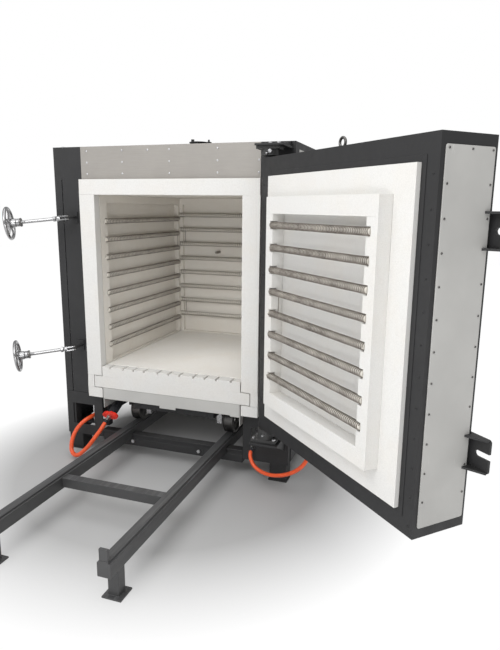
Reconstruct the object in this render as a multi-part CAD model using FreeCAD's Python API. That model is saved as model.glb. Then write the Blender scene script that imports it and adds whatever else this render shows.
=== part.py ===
import FreeCAD
import Part
import math
import os

# Electric car kiln for pottery, about 1000 litres.
# Millimetres, +X right, +Y back, +Z up. Origin: floor level, middle of the chamber opening,
# at the steel front face of the casing. The rest pose is the kiln with its door swung open.

V = FreeCAD.Vector

# ---------------------------------------------------------------- driving dimensions
CASING_LEFT = -750.0         # casing side faces
CASING_RIGHT = 718.0
CASING_BOTTOM = 107.0
CASING_TOP = 1874.0
CASING_DEPTH = 1330.0
SHEET = 4.0                  # casing sheet thickness
HEADER_RIGHT = 533.0         # the header sheet stops short of the hinge-side post
FIT_GAP = 0.3                # gap between neighbouring pieces

OPENING_HALF = 450.0         # chamber opening half width
OPENING_TOP = 1604.0
COLLAR_PROUD = 52.0          # brick collar stands this far out of the casing front
COLLAR_HALF = 548.0
COLLAR_TOP = 1690.0
COLLAR_BOTTOM = 390.0
COLLAR_JOINT = 1008.0        # height of the joint in the collar's side bars

WALL_OUT = 562.0             # outer face of the hot-face bricks
CHAMBER_BACK = 1062.0
BACK_WALL_OUT = 1180.0
ROOF_BRICK_TOP = 1720.0
RECESS_LOW = 596.0           # element recess in the walls
RECESS_HIGH = 1557.0
RECESS_DEPTH = 30.0
JAMB_DEPTH = 78.0
REAR_PILLAR = 32.0           # brick pillars beside the recess: side walls, back wall
BACK_PILLAR = 427.0

ELEMENTS = 8                 # elements on each wall and on the door
ELEMENT_TOP = 1453.0         # highest element of the side walls, of the back wall
BACK_ELEMENT_TOP = 1482.0
ELEMENT_PITCH = 107.0
ELEMENT_INSET = 2.0          # element centre behind the wall face
PROBE_X = -137.0             # thermocouple through the back wall
PROBE_Z = 1212.0
TUBE_R = 12.0
COIL_IN = 12.4
COIL_OUT = 17.0
SOCKET_R = 12.6
NOTCH_DEPTH = 24.0           # open notch in which a coil's last turns lie
NOTCH_HALF = 18.5

HEARTH_TOP = 588.0
KEY_HALF = 501.0             # brick tongue that runs in the side walls' channel
KEY_LOW = 456.0
KEY_HIGH = 526.0
TRAY_LOW = 385.0
TRAY_HALF = 442.0
HEARTH_HALF = 445.0
HEARTH_FRONT = -52.0
HEARTH_BACK = 1055.0
BRICK = 230.0                # standard firebrick length
GROOVE_PITCH = 70.0
SLAB_TOP = 590.0
SLAB_FRONT = 12.0

RAIL_X = 313.0
RAIL_TOP = 200.0
RAIL_FRONT = -1230.0
RAIL_BACK = 1240.0
WHEEL_R = 74.7
FLANGE_R = 81.0
AXLE_R = 15.0
FRONT_AXLE_Y = 175.0
AXLE_SPACING = 700.0
AXLE_Z = 275.0
RUNNING_FIT = 0.05           # radial clearance of shafts in their bores

HINGE_X = 618.3
HINGE_Y = -121.2
DOOR_OPEN = 134.86           # degrees between shut and the rest pose
DOOR_LEFT = -586.0           # free edge, door shut
DOOR_RIGHT = 608.0           # hinge edge, door shut
DOOR_IN = -74.0              # inner steel face, door shut
DOOR_OUT = -316.0
DOOR_LOW = 400.0
DOOR_HIGH = 1778.0
PAD_HALF = 507.0
PAD_LOW = 487.0
PAD_HIGH = 1688.0
PAD_FRONT = -54.0
PAD_BACK = -139.0
PLUG_HALF = 404.0
PLUG_LOW = 597.0
PLUG_HIGH = 1590.0
PLUG_FRONT = 6.0
DOOR_RECESS_HALF = 342.0
DOOR_RECESS_LOW = 670.0
DOOR_RECESS_HIGH = 1515.0
DOOR_ELEMENT_TOP = 1464.0
DOOR_ELEMENT_PITCH = 101.7
PIN_R = 20.0

BOLT_X = -620.0
BOLT_Y = -84.0
BOLT_HEIGHTS = {"upper": 1473.0, "lower": 697.0}
# swung away and hanging a little low
BOLT_REST = {"upper": V(-0.8848, -0.4528, -0.1097), "lower": V(-0.8356, -0.5385, -0.1080)}
ROD_R = 10.0
HANDWHEEL_R = 86.0
HANDWHEEL_AT = 320.0

CABLE_R = 12.5
DOOR_CABLE_R = 10.5


# ---------------------------------------------------------------- helpers
def box(x, y, z):
    """A block between the limits in each direction."""
    return Part.makeBox(x[1] - x[0], y[1] - y[0], z[1] - z[0], V(x[0], y[0], z[0]))


def rod(start, end, radius):
    start = V(*start)
    along = V(*end) - start
    return Part.makeCylinder(radius, along.Length, start, along)


def pipe(start, end, outer, inner):
    start = V(*start)
    along = V(*end) - start
    length = along.Length
    return Part.makeCylinder(outer, length, start, along).cut(Part.makeCylinder(inner, length, start, along))


def prism(points, along):
    """A flat outline pushed along a vector."""
    ring = [V(*p) for p in points]
    return Part.Face(Part.makePolygon(ring + [ring[0]])).extrude(V(*along))


def hexagon(start, end, across_flats):
    start = V(*start)
    along = V(*end) - start
    turn = FreeCAD.Rotation(V(0, 0, 1), along)
    corner = across_flats / math.sqrt(3.0)
    ring = [start + turn.multVec(V(corner * math.cos(math.radians(60 * k)),
                                   corner * math.sin(math.radians(60 * k)), 0)) for k in range(7)]
    return Part.Face(Part.makePolygon(ring)).extrude(along)


def mirror_x(shape):
    return shape.mirror(V(0, 0, 0), V(1, 0, 0))


def both_sides(shapes):
    return shapes + [mirror_x(s) for s in shapes]


def cut_all(shape, tools):
    return shape.cut(Part.makeCompound(tools))


def save(name, shapes, placement=None):
    """Write one node; a node is one solid or a group of separate solids."""
    solids = [s for shape in shapes for s in shape.Solids]
    if placement:
        for solid in solids:
            solid.Placement = placement.multiply(solid.Placement)
    group = solids[0] if len(solids) == 1 else Part.makeCompound(solids)
    group.exportStep("parts/" + name + ".step")


def door_placement():
    """Turns pieces drawn on the shut door to the open rest pose."""
    return FreeCAD.Placement(V(0, 0, 0), FreeCAD.Rotation(V(0, 0, 1), DOOR_OPEN), V(HINGE_X, HINGE_Y, 0))


def bolt_placement(name):
    """Places a swing bolt drawn along +X about a pin along +Z."""
    along = V(BOLT_REST[name]).normalize()
    pin = along.cross(V(0, -1, 0)).normalize()
    side = pin.cross(along)
    turn = FreeCAD.Rotation(along, side, pin, "XZY")
    return FreeCAD.Placement(V(BOLT_X, BOLT_Y, BOLT_HEIGHTS[name]), turn)


def element_heights(top, pitch):
    return [top - k * pitch for k in range(ELEMENTS)]


# ---------------------------------------------------------------- base
def make_base():
    beams = []
    left, right = CASING_LEFT + 60.0, CASING_RIGHT - 60.0
    sides = ((left - 55.0, left), (right, right + 55.0))
    between = (left + FIT_GAP, right - FIT_GAP)
    for low, high in ((CASING_BOTTOM, 175.0), (322.0, 383.0)):
        for x in sides:
            beams.append(box(x, (6.0, 1320.0), (low, high)))
        beams.append(box(between, (1262.0, 1320.0), (low, high)))
    for x in sides:
        for y in ((6.0, 60.0), (640.0, 700.0), (1262.0, 1320.0)):
            beams.append(box(x, y, (175.0, 322.0)))
    rail_gap = 32.0
    beams.append(box((-489.0, 444.0), (0.0, 50.0), (82.0, 127.0)))
    inner = RAIL_X - rail_gap
    outer = RAIL_X + rail_gap
    for x in ((-489.0, -outer), (-inner, inner), (outer, 444.0)):
        beams.append(box(x, (0.0, 50.0), (127.0, 162.0)))
        beams.append(box(x, (-6.0, 0.0), (150.0, 162.0)))
    beams.append(box(between, (640.0, 700.0), (82.0, 127.0)))
    save("base_frame", beams)

    window = box((-705.0, -551.0), (-1.0, 9.0), (175.0, 310.0))
    slot = box((496.0, 521.0), (-1.0, 9.0), (215.0, 308.0))
    gland_hole = rod((507.0, -1.0, 194.0), (507.0, 9.0, 194.0), 11.0)
    left = box((CASING_LEFT, -490.0), (0.0, 5.5), (CASING_BOTTOM, 389.0)).cut(window)
    right = box((445.0, CASING_RIGHT), (0.0, 5.5), (CASING_BOTTOM, 389.0)).cut(slot).cut(gland_hole)
    save("base_front_plates", [left, right])

    feet = []
    for x, y in ((-701.0, 60.0), (655.0, 60.0), (-701.0, 1270.0), (669.0, 1270.0)):
        feet.append(box((x - 49.0, x + 49.0), (y - 49.0, y + 49.0), (8.0, CASING_BOTTOM - FIT_GAP)))
        feet.append(box((x - 56.0, x + 56.0), (y - 56.0, y + 56.0), (0.0, 8.0)))
    save("feet", feet)


def make_rails():
    for name, side in (("rail_left", -1), ("rail_right", 1)):
        centre = side * RAIL_X
        y = (RAIL_FRONT, RAIL_BACK)
        beam = box((centre - 31.0, centre + 31.0), y, (128.0, 190.0))
        strip = box((centre - 22.0, centre + 22.0), y, (190.0, RAIL_TOP))
        leg = box((centre - 25.0, centre + 25.0), (RAIL_FRONT + 60.0, RAIL_FRONT + 110.0), (8.0, 128.0))
        shoe = box((centre - 45.0, centre + 45.0), (RAIL_FRONT + 40.0, RAIL_FRONT + 130.0), (0.0, 8.0))
        save(name, [beam.fuse(strip).removeSplitter(), leg.fuse(shoe)])

    inner = RAIL_X - 31.0 - FIT_GAP
    ties = [box((-inner, inner), (-690.0, -640.0), (138.0, 188.0))]
    for side in (-1, 1):
        stop_x = (side * RAIL_X - 20.0, side * RAIL_X + 20.0)
        ties.append(box(stop_x, (RAIL_FRONT, RAIL_FRONT + 14.0), (RAIL_TOP, 250.0)))
        ties.append(box(stop_x, (RAIL_BACK - 14.0, RAIL_BACK), (RAIL_TOP, 250.0)))
    save("rail_ties_and_stops", ties)


# ---------------------------------------------------------------- casing
def make_casing():
    low, high = COLLAR_BOTTOM, CASING_TOP
    slit = box((-702.0, -698.0), (-1.0, 9.0), (low, 1697.0))
    left = box((CASING_LEFT, -563.0), (0.0, SHEET), (low, high)).cut(slit)
    left = left.fuse(box((CASING_LEFT, CASING_LEFT + SHEET), (SHEET, 60.0), (low, high)))
    right = box((563.0, CASING_RIGHT), (0.0, SHEET), (low, COLLAR_TOP + FIT_GAP))
    right = right.fuse(box((HEADER_RIGHT + 0.5, CASING_RIGHT), (0.0, SHEET), (COLLAR_TOP + FIT_GAP, high)))
    right = right.fuse(box((CASING_RIGHT - SHEET, CASING_RIGHT), (SHEET, 60.0), (low, high)))
    save("front_posts", [left.removeSplitter(), right.removeSplitter()])
    save("header_sheet", [box((-562.6, HEADER_RIGHT), (0.0, SHEET), (COLLAR_TOP + FIT_GAP, CASING_TOP))])
    panels = [box(x, (60.5, CASING_DEPTH - 5.0), (CASING_BOTTOM, CASING_TOP))
              for x in ((CASING_LEFT, CASING_LEFT + SHEET), (CASING_RIGHT - SHEET, CASING_RIGHT))]
    inside = (CASING_LEFT + 5.0, CASING_RIGHT - 5.0)
    back = box(inside, (CASING_DEPTH - SHEET, CASING_DEPTH), (CASING_BOTTOM, CASING_TOP - 5.0))
    panels.append(back.cut(rod((PROBE_X, 1300.0, PROBE_Z), (PROBE_X, 1350.0, PROBE_Z), 9.5)))
    roof = box(inside, (5.0, CASING_DEPTH - 5.0), (CASING_TOP - SHEET, CASING_TOP))
    panels.append(roof.cut(rod((120.0, 140.0, 1860.0), (120.0, 140.0, 1890.0), 36.0)))
    save("casing_panels", panels)

    rivets = []
    for x in (-522.0, -290.0, 5.0, 290.0, 523.0):
        for z in (1722.0, 1785.0, 1848.0):
            rivets.append(rod((x, -3.0, z), (x, 0.0, z), 6.0))
    rivets.append(rod((-128.0, -3.0, 1848.0), (-128.0, 0.0, 1848.0), 6.0))
    for x in (-276.0, 168.0):
        rivets.append(hexagon((x, -10.0, 113.0), (x, 0.0, 113.0), 19.0))
    rivets.append(rod((-700.0, 30.0, CASING_TOP), (-700.0, 30.0, CASING_TOP + 7.0), 9.0))
    for z in range(420, 1860, 160):
        for y in (90.0, 650.0, 1290.0):
            rivets.append(rod((CASING_LEFT - 3.0, y, z), (CASING_LEFT, y, z), 6.0))
            rivets.append(rod((CASING_RIGHT, y, z), (CASING_RIGHT + 3.0, y, z), 6.0))
    for x in (632.0, 674.0):
        rivets.append(hexagon((x, -160.0, 1846.0), (x, -160.0, 1855.0), 17.0))
    for x in (562.0, 674.0):
        for y in (-152.0, -90.0):
            rivets.append(hexagon((x, y, 314.0), (x, y, 323.0), 17.0))
    save("casing_fasteners", rivets)


# ---------------------------------------------------------------- refractory
def make_collar():
    """Brick collar round the opening, notched for the hearth's tongue."""
    y = (-COLLAR_PROUD, -FIT_GAP)
    blocks = [box((-COLLAR_HALF, 2.0), y, (OPENING_TOP, COLLAR_TOP)),
              box((2.0, COLLAR_HALF), y, (OPENING_TOP, COLLAR_TOP))]
    side = [box((OPENING_HALF, COLLAR_HALF), y, (COLLAR_JOINT, OPENING_TOP)),
            box((OPENING_HALF, COLLAR_HALF), y, (KEY_HIGH + 4.0, COLLAR_JOINT)),
            box((KEY_HALF + 4.0, COLLAR_HALF), y, (KEY_LOW - 4.0, KEY_HIGH + 4.0)),
            box((OPENING_HALF, COLLAR_HALF), y, (COLLAR_BOTTOM, KEY_LOW - 4.0))]
    save("brick_collar", blocks + both_sides(side))


def make_wall_bricks():
    face = OPENING_HALF
    low_z = (KEY_HIGH + 4.0, RECESS_LOW)
    y = (SHEET + 0.5, CHAMBER_BACK)
    jamb_y = (SHEET + 0.5, JAMB_DEPTH)
    pillar_y = (CHAMBER_BACK - REAR_PILLAR, CHAMBER_BACK)
    heights = element_heights(ELEMENT_TOP, ELEMENT_PITCH)
    centre = face + ELEMENT_INSET
    back_edge = CHAMBER_BACK - REAR_PILLAR
    sockets = [rod((centre, JAMB_DEPTH - 34.0, z), (centre, back_edge + 18.0, z), SOCKET_R) for z in heights]
    sockets += [box((face - 1.0, centre + NOTCH_HALF), (JAMB_DEPTH - NOTCH_DEPTH, back_edge + NOTCH_DEPTH),
                    (z - NOTCH_HALF, z + NOTCH_HALF)) for z in heights]
    centre_y = CHAMBER_BACK + ELEMENT_INSET
    back_heights = element_heights(BACK_ELEMENT_TOP, ELEMENT_PITCH)
    back_sockets = [rod((-460.0, centre_y, z), (460.0, centre_y, z), SOCKET_R) for z in back_heights]
    right = [box((face, WALL_OUT), y, low_z),
             box((KEY_HALF + 4.0, WALL_OUT), y, (KEY_LOW - 4.0, KEY_HIGH + 4.0)),
             box((face, WALL_OUT), y, (COLLAR_BOTTOM, KEY_LOW - 4.0)),
             box((face, WALL_OUT), y, (RECESS_HIGH, OPENING_TOP)),
             cut_all(box((face, WALL_OUT), jamb_y, (RECESS_LOW, RECESS_HIGH)), sockets),
             cut_all(box((face, WALL_OUT), pillar_y, (RECESS_LOW, RECESS_HIGH)), sockets + back_sockets),
             box((face + RECESS_DEPTH, WALL_OUT), (jamb_y[1], pillar_y[0]), (RECESS_LOW, RECESS_HIGH))]
    save("right_wall_bricks", right)
    save("left_wall_bricks", [mirror_x(s) for s in right])

    back_y = (CHAMBER_BACK + FIT_GAP, BACK_WALL_OUT)
    deep_y = (CHAMBER_BACK + RECESS_DEPTH, BACK_WALL_OUT)
    back_sockets += [box((-face, face), (CHAMBER_BACK - 1.0, centre_y + NOTCH_HALF),
                         (z - NOTCH_HALF, z + NOTCH_HALF)) for z in back_heights]
    probe_hole = rod((PROBE_X, 1000.0, PROBE_Z), (PROBE_X, 1400.0, PROBE_Z), 9.5)
    back = [box((-WALL_OUT, WALL_OUT), back_y, (COLLAR_BOTTOM, RECESS_LOW)),
            box((-WALL_OUT, WALL_OUT), back_y, (RECESS_HIGH, OPENING_TOP)),
            box((-BACK_PILLAR, BACK_PILLAR), deep_y, (RECESS_LOW, RECESS_HIGH)).cut(probe_hole)]
    for side in (-1, 1):
        x = sorted((side * BACK_PILLAR, side * WALL_OUT))
        back.append(cut_all(box(x, back_y, (RECESS_LOW, RECESS_HIGH)), back_sockets))
    save("back_wall_bricks", back)

    roof = []
    vent = rod((120.0, 140.0, 1500.0), (120.0, 140.0, 1900.0), 36.0)
    slab = (BACK_WALL_OUT - SHEET - 0.5) / 5.0
    for k in range(5):
        start = SHEET + 0.5 + k * slab
        block = box((-WALL_OUT, WALL_OUT), (start, start + slab), (OPENING_TOP + FIT_GAP, ROOF_BRICK_TOP))
        roof.append(block.cut(vent))
    save("roof_bricks", roof)

    left, right = CASING_LEFT + SHEET + 1.0, CASING_RIGHT - SHEET - 1.0
    start_y = 62.0
    end_y = CASING_DEPTH - SHEET - 1.0
    boards = [box(x, (start_y, end_y), (COLLAR_BOTTOM, ROOF_BRICK_TOP))
              for x in ((left, -WALL_OUT - 0.5), (WALL_OUT + 0.5, right))]
    rear = box((-WALL_OUT, WALL_OUT), (BACK_WALL_OUT + 0.5, end_y), (COLLAR_BOTTOM, ROOF_BRICK_TOP))
    boards.append(rear.cut(probe_hole))
    top = box((left, right), (start_y, end_y), (ROOF_BRICK_TOP + 0.5, CASING_TOP - SHEET - 1.0))
    boards.append(top.cut(vent))
    save("backing_boards", boards)


def make_wall_elements():
    heights = element_heights(ELEMENT_TOP, ELEMENT_PITCH)
    side_x = OPENING_HALF + ELEMENT_INSET
    back_y = CHAMBER_BACK + ELEMENT_INSET
    near, far = JAMB_DEPTH, CHAMBER_BACK - REAR_PILLAR
    tubes, coils = [], []
    for z in heights:
        for x in (-side_x, side_x):
            tubes.append(rod((x, near - 30.0, z), (x, far + 14.0, z), TUBE_R))
            coils.append(pipe((x, near - 21.0, z), (x, far + 12.0, z), COIL_OUT, COIL_IN))
    for z in element_heights(BACK_ELEMENT_TOP, ELEMENT_PITCH):
        tubes.append(rod((-456.0, back_y, z), (456.0, back_y, z), TUBE_R))
        coils.append(pipe((-447.0, back_y, z), (447.0, back_y, z), COIL_OUT, COIL_IN))
    save("wall_element_tubes", tubes)
    save("wall_elements", coils)

    sheath = rod((PROBE_X, 1020.0, PROBE_Z), (PROBE_X, 1345.0, PROBE_Z), 9.0)
    head = rod((PROBE_X, 1345.0, PROBE_Z), (PROBE_X, 1392.0, PROBE_Z), 30.0)
    save("thermocouple", [sheath.fuse(head)])


# ---------------------------------------------------------------- rear box and vent
def make_terminal_box():
    x = (-460.0, 460.0)
    y = (CASING_DEPTH + FIT_GAP, 1440.0)
    z = (640.0, 1520.0)
    outer = box(x, y, z)
    inner = box((x[0] + 3.0, x[1] - 3.0), (y[0] - 1.0, y[1] + 1.0), (z[0] + 3.0, z[1] - 3.0))
    save("terminal_box", [outer.cut(inner)])
    cover = box((x[0] - 4.0, x[1] + 4.0), (1440.3, 1444.0), (z[0] - 4.0, z[1] + 4.0))
    slots = [box((-160.0, 160.0), (1430.0, 1450.0), (z[0] + 60.0 + 26.0 * k, z[0] + 68.0 + 26.0 * k))
             for k in range(8)]
    slots += [box((-160.0, 160.0), (1430.0, 1450.0), (z[1] - 68.0 - 26.0 * k, z[1] - 60.0 - 26.0 * k))
              for k in range(8)]
    save("terminal_box_cover", [cut_all(cover, slots)])
    terminals = []
    for z_row in element_heights(BACK_ELEMENT_TOP, ELEMENT_PITCH):
        for x_row in (-400.0, -300.0, 300.0, 400.0):
            base = rod((x_row, CASING_DEPTH + FIT_GAP, z_row), (x_row, CASING_DEPTH + 32.0, z_row), 14.0)
            stud = rod((x_row, CASING_DEPTH + 32.0, z_row), (x_row, CASING_DEPTH + 66.0, z_row), 5.0)
            terminals.append(base.fuse(stud))
    save("element_terminals", terminals)


def make_vent():
    top = CASING_TOP
    centre = (120.0, 140.0)
    flange = pipe((centre[0], centre[1], top), (centre[0], centre[1], top + 4.0), 70.0, 36.0)
    neck = pipe((centre[0], centre[1], top + 4.0), (centre[0], centre[1], top + 16.0), 44.0, 36.0)
    post = rod((centre[0] + 62.0, centre[1], top + 4.0), (centre[0] + 62.0, centre[1], top + 34.0), 5.0)
    save("roof_vent", [flange.fuse(neck).fuse(post)])
    lid = rod((centre[0], centre[1], top + 16.4), (centre[0], centre[1], top + 22.0), 52.0)
    ear = box((centre[0] + 30.0, centre[0] + 74.0), (centre[1] - 12.0, centre[1] + 12.0),
              (top + 16.4, top + 22.0))
    knob = rod((centre[0] - 36.0, centre[1], top + 22.0), (centre[0] - 36.0, centre[1], top + 38.0), 9.0)
    pivot_x = centre[0] + 62.0
    bore = rod((pivot_x, centre[1], top), (pivot_x, centre[1], top + 50.0), 5.0 + RUNNING_FIT)
    save("vent_damper", [lid.fuse(ear).fuse(knob).cut(bore)])


# ---------------------------------------------------------------- hinges
def make_hinges():
    x, y = HINGE_X, HINGE_Y
    plates = [box((560.0, 704.0), (y - 70.0, -FIT_GAP), (1836.3, 1846.0)),
              box((548.0, 704.0), (y - 70.0, -FIT_GAP), (288.0, 300.0))]
    for rib_x in (580.0, 688.0):
        corners = [(rib_x, -FIT_GAP, 1846.0), (rib_x, y - 48.0, 1846.0), (rib_x, -FIT_GAP, 1872.0)]
        plates.append(prism(corners, (8.0, 0, 0)))
    for rib_x in (556.0, 688.0):
        corners = [(rib_x, -6.0, 288.0), (rib_x, y - 55.0, 288.0), (rib_x, -6.0, 200.0)]
        plates.append(prism(corners, (8.0, 0, 0)))
    backing = box((548.0, 704.0), (-6.0, -FIT_GAP), (196.0, 288.0))
    plates.append(backing.cut(box((563.0, 690.0), (-9.0, 3.0), (196.0, 262.0))))
    save("hinge_brackets", plates)

    housings = []
    for low, high, plate_low, reach in ((1792.0, 1822.0, 1822.0, 58.0), (314.0, 372.0, 300.3, 70.0)):
        plate_high = plate_low + (14.0 if reach < 60.0 else 13.7)
        flange = box((x - reach, x + reach), (y - 45.0, y + 45.0), (plate_low, plate_high))
        boss = Part.makeCylinder(42.0, high - low, V(x, y, low))
        bore = Part.makeCylinder(PIN_R + RUNNING_FIT, 120.0, V(x, y, min(low, plate_low) - 10.0))
        nipple = rod((x, y - 40.0, (low + high) / 2), (x, y - 58.0, (low + high) / 2), 4.0)
        housings.append(flange.fuse(boss).fuse(nipple).cut(bore))
    save("hinge_bearings", housings)


def make_door_hinge_arms():
    """Drawn with the door shut: a plate and a pin above and below the door."""
    x, y = HINGE_X, HINGE_Y
    arms = []
    for low, high, pin_low, pin_high, depth, end_r in (
            (DOOR_HIGH + FIT_GAP, 1788.0, 1788.0, 1834.0, (-165.0, -125.0), 28.0),
            (380.0, DOOR_LOW - FIT_GAP, 304.0, 380.0, (y - 40.0, y + 40.0), 40.0)):
        plate = box((470.0, x), depth, (low, high))
        round_end = Part.makeCylinder(end_r, high - low, V(x, y, low))
        pin = Part.makeCylinder(PIN_R, pin_high - pin_low, V(x, y, pin_low))
        arms.append(plate.fuse(round_end).fuse(pin).removeSplitter())
    save("door_hinge_arms", arms, door_placement())


# ---------------------------------------------------------------- door
def make_door():
    place = door_placement()
    t = SHEET
    x0, x1, y0, y1 = DOOR_LEFT, DOOR_RIGHT, DOOR_OUT, DOOR_IN
    z0, z1 = DOOR_LOW, DOOR_HIGH
    ring_x, ring_z = PAD_HALF + 1.0, (PAD_LOW - 1.0, PAD_HIGH + 1.0)
    shell = [box((x0, x1), (y0, y0 + t), (z0, z1)),
             box((x0, x0 + t), (y0 + t, y1), (z0, z1)),
             box((x1 - t, x1), (y0 + t, y1), (z0, z1)),
             box((x0 + t, x1 - t), (y0 + t, y1), (z0, z0 + t)),
             box((x0 + t, x1 - t), (y0 + t, y1), (z1 - t, z1)),
             box((x0 + t, -ring_x), (y1 - t, y1), (z0 + t, z1 - t)),
             box((ring_x, x1 - t), (y1 - t, y1), (z0 + t, z1 - t)),
             box((-ring_x, ring_x), (y1 - t, y1), (z0 + t, ring_z[0])),
             box((-ring_x, ring_x), (y1 - t, y1), (ring_z[1], z1 - t))]
    save("door_shell", shell, place)

    panel = box((x0 - 5.0, x0 - FIT_GAP), (y1 - 228.7, y1 - 18.0), (z0 + 40.0, z1 - 39.0))
    corners = [e for e in panel.Edges if e.Length < 5.0]
    save("door_edge_panel", [panel.makeFillet(8.0, corners)], place)

    boards = [box((x0 + t + 1.0, x1 - t - 1.0), (y0 + t + 1.0, PAD_BACK - 1.0), (z0 + t + 1.0, z1 - t - 1.0))]
    save("door_insulation", boards, place)

    pad = []
    half = PAD_LOW + (PAD_HIGH - PAD_LOW) / 2
    for low, high in ((PAD_LOW, half), (half, PAD_HIGH)):
        for side in (-1, 1):
            pad.append(box(sorted((0.0, side * PAD_HALF)), (PAD_BACK, PAD_FRONT), (low, high)))
    save("door_pad", pad, place)

    heights = element_heights(DOOR_ELEMENT_TOP, DOOR_ELEMENT_PITCH)
    centre_y = PLUG_FRONT - 8.0
    sockets = [rod((-DOOR_RECESS_HALF - 26.0, centre_y, z), (DOOR_RECESS_HALF + 26.0, centre_y, z), SOCKET_R)
               for z in heights]
    notch = DOOR_RECESS_HALF + NOTCH_DEPTH
    sockets += [box((-notch, notch), (centre_y - NOTCH_HALF, PLUG_FRONT + 1.0),
                    (z - NOTCH_HALF, z + NOTCH_HALF)) for z in heights]
    y = (PAD_FRONT + FIT_GAP, PLUG_FRONT)
    joint = DOOR_RECESS_HIGH - 235.0
    plug = [box((-PLUG_HALF, PLUG_HALF), y, (DOOR_RECESS_HIGH, PLUG_HIGH)),
            box((-PLUG_HALF, PLUG_HALF), y, (PLUG_LOW, DOOR_RECESS_LOW))]
    for side in (-1, 1):
        x = sorted((side * DOOR_RECESS_HALF, side * PLUG_HALF))
        for z in ((DOOR_RECESS_LOW, joint), (joint, DOOR_RECESS_HIGH)):
            plug.append(cut_all(box(x, y, z), sockets))
    save("door_plug", plug, place)

    tubes = [rod((-DOOR_RECESS_HALF - 22.0, centre_y, z), (DOOR_RECESS_HALF + 22.0, centre_y, z), TUBE_R)
             for z in heights]
    reach = notch - 3.0
    coils = [pipe((-reach, centre_y, z), (reach, centre_y, z), COIL_OUT, COIL_IN) for z in heights]
    save("door_element_tubes", tubes, place)
    save("door_elements", coils, place)

    screws = []
    for k in range(12):
        z = 1728.0 - 108.0 * k
        by_gusset = any(50.0 < abs(z - middle) < 70.0 for middle in BOLT_HEIGHTS.values())
        for depth in (30.0,) if by_gusset else (30.0, 217.0):
            screws.append(rod((x0 - 8.0, y1 - depth, z), (x0 - 5.0, y1 - depth, z), 5.0))
    for middle in BOLT_HEIGHTS.values():
        for z in (middle - 40.0, middle + 40.0):
            screws.append(rod((-563.0, y0 - 13.0, z), (-563.0, y0 - 10.0, z), 6.0))
    screws.append(rod((x0 - 8.0, y1 - 128.0, 1728.0), (x0 - 5.0, y1 - 128.0, 1728.0), 5.0))
    for z in range(440, 1760, 110):
        for x in (x0 + 24.0, x1 - 24.0):
            screws.append(rod((x, y1, z), (x, y1 + 2.5, z), 4.5))
    eye_x, eye_y = 608.0 - 500.0, y1 - 121.0
    shank = rod((eye_x, eye_y, z1), (eye_x, eye_y, z1 + 12.0), 16.0)
    ring = Part.makeTorus(20.0, 6.0, V(eye_x, eye_y, z1 + 34.0), V(0, 1, 0))
    save("door_fasteners", screws + [shank.fuse(ring)], place)

    brackets = []
    for middle in BOLT_HEIGHTS.values():
        face = box((-672.0, -546.0), (y0 - 10.0, y0 - FIT_GAP), (middle - 64.0, middle + 64.0))
        corners = [e for e in face.Edges if e.BoundBox.YLength > 9.0 and e.BoundBox.XMax < -671.0]
        face = face.makeFillet(12.0, corners)
        slot = box((-680.0, BOLT_X - 1.0), (-340.0, -300.0), (middle - 12.0, middle + 12.0))
        slot = slot.fuse(rod((BOLT_X - 1.0, -340.0, middle), (BOLT_X - 1.0, -300.0, middle), 12.0))
        plate = face.cut(slot)
        for low in (middle - 64.0, middle + 56.0):
            corners = [(-592.0, y0 - FIT_GAP, low), (-592.0, -278.0, low), (-668.0, -312.0, low),
                       (-668.0, y0 - FIT_GAP, low)]
            plate = plate.fuse(prism(corners, (0, 0, 8.0)))
        brackets.append(plate.removeSplitter())
    save("latch_brackets", brackets, place)


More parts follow.
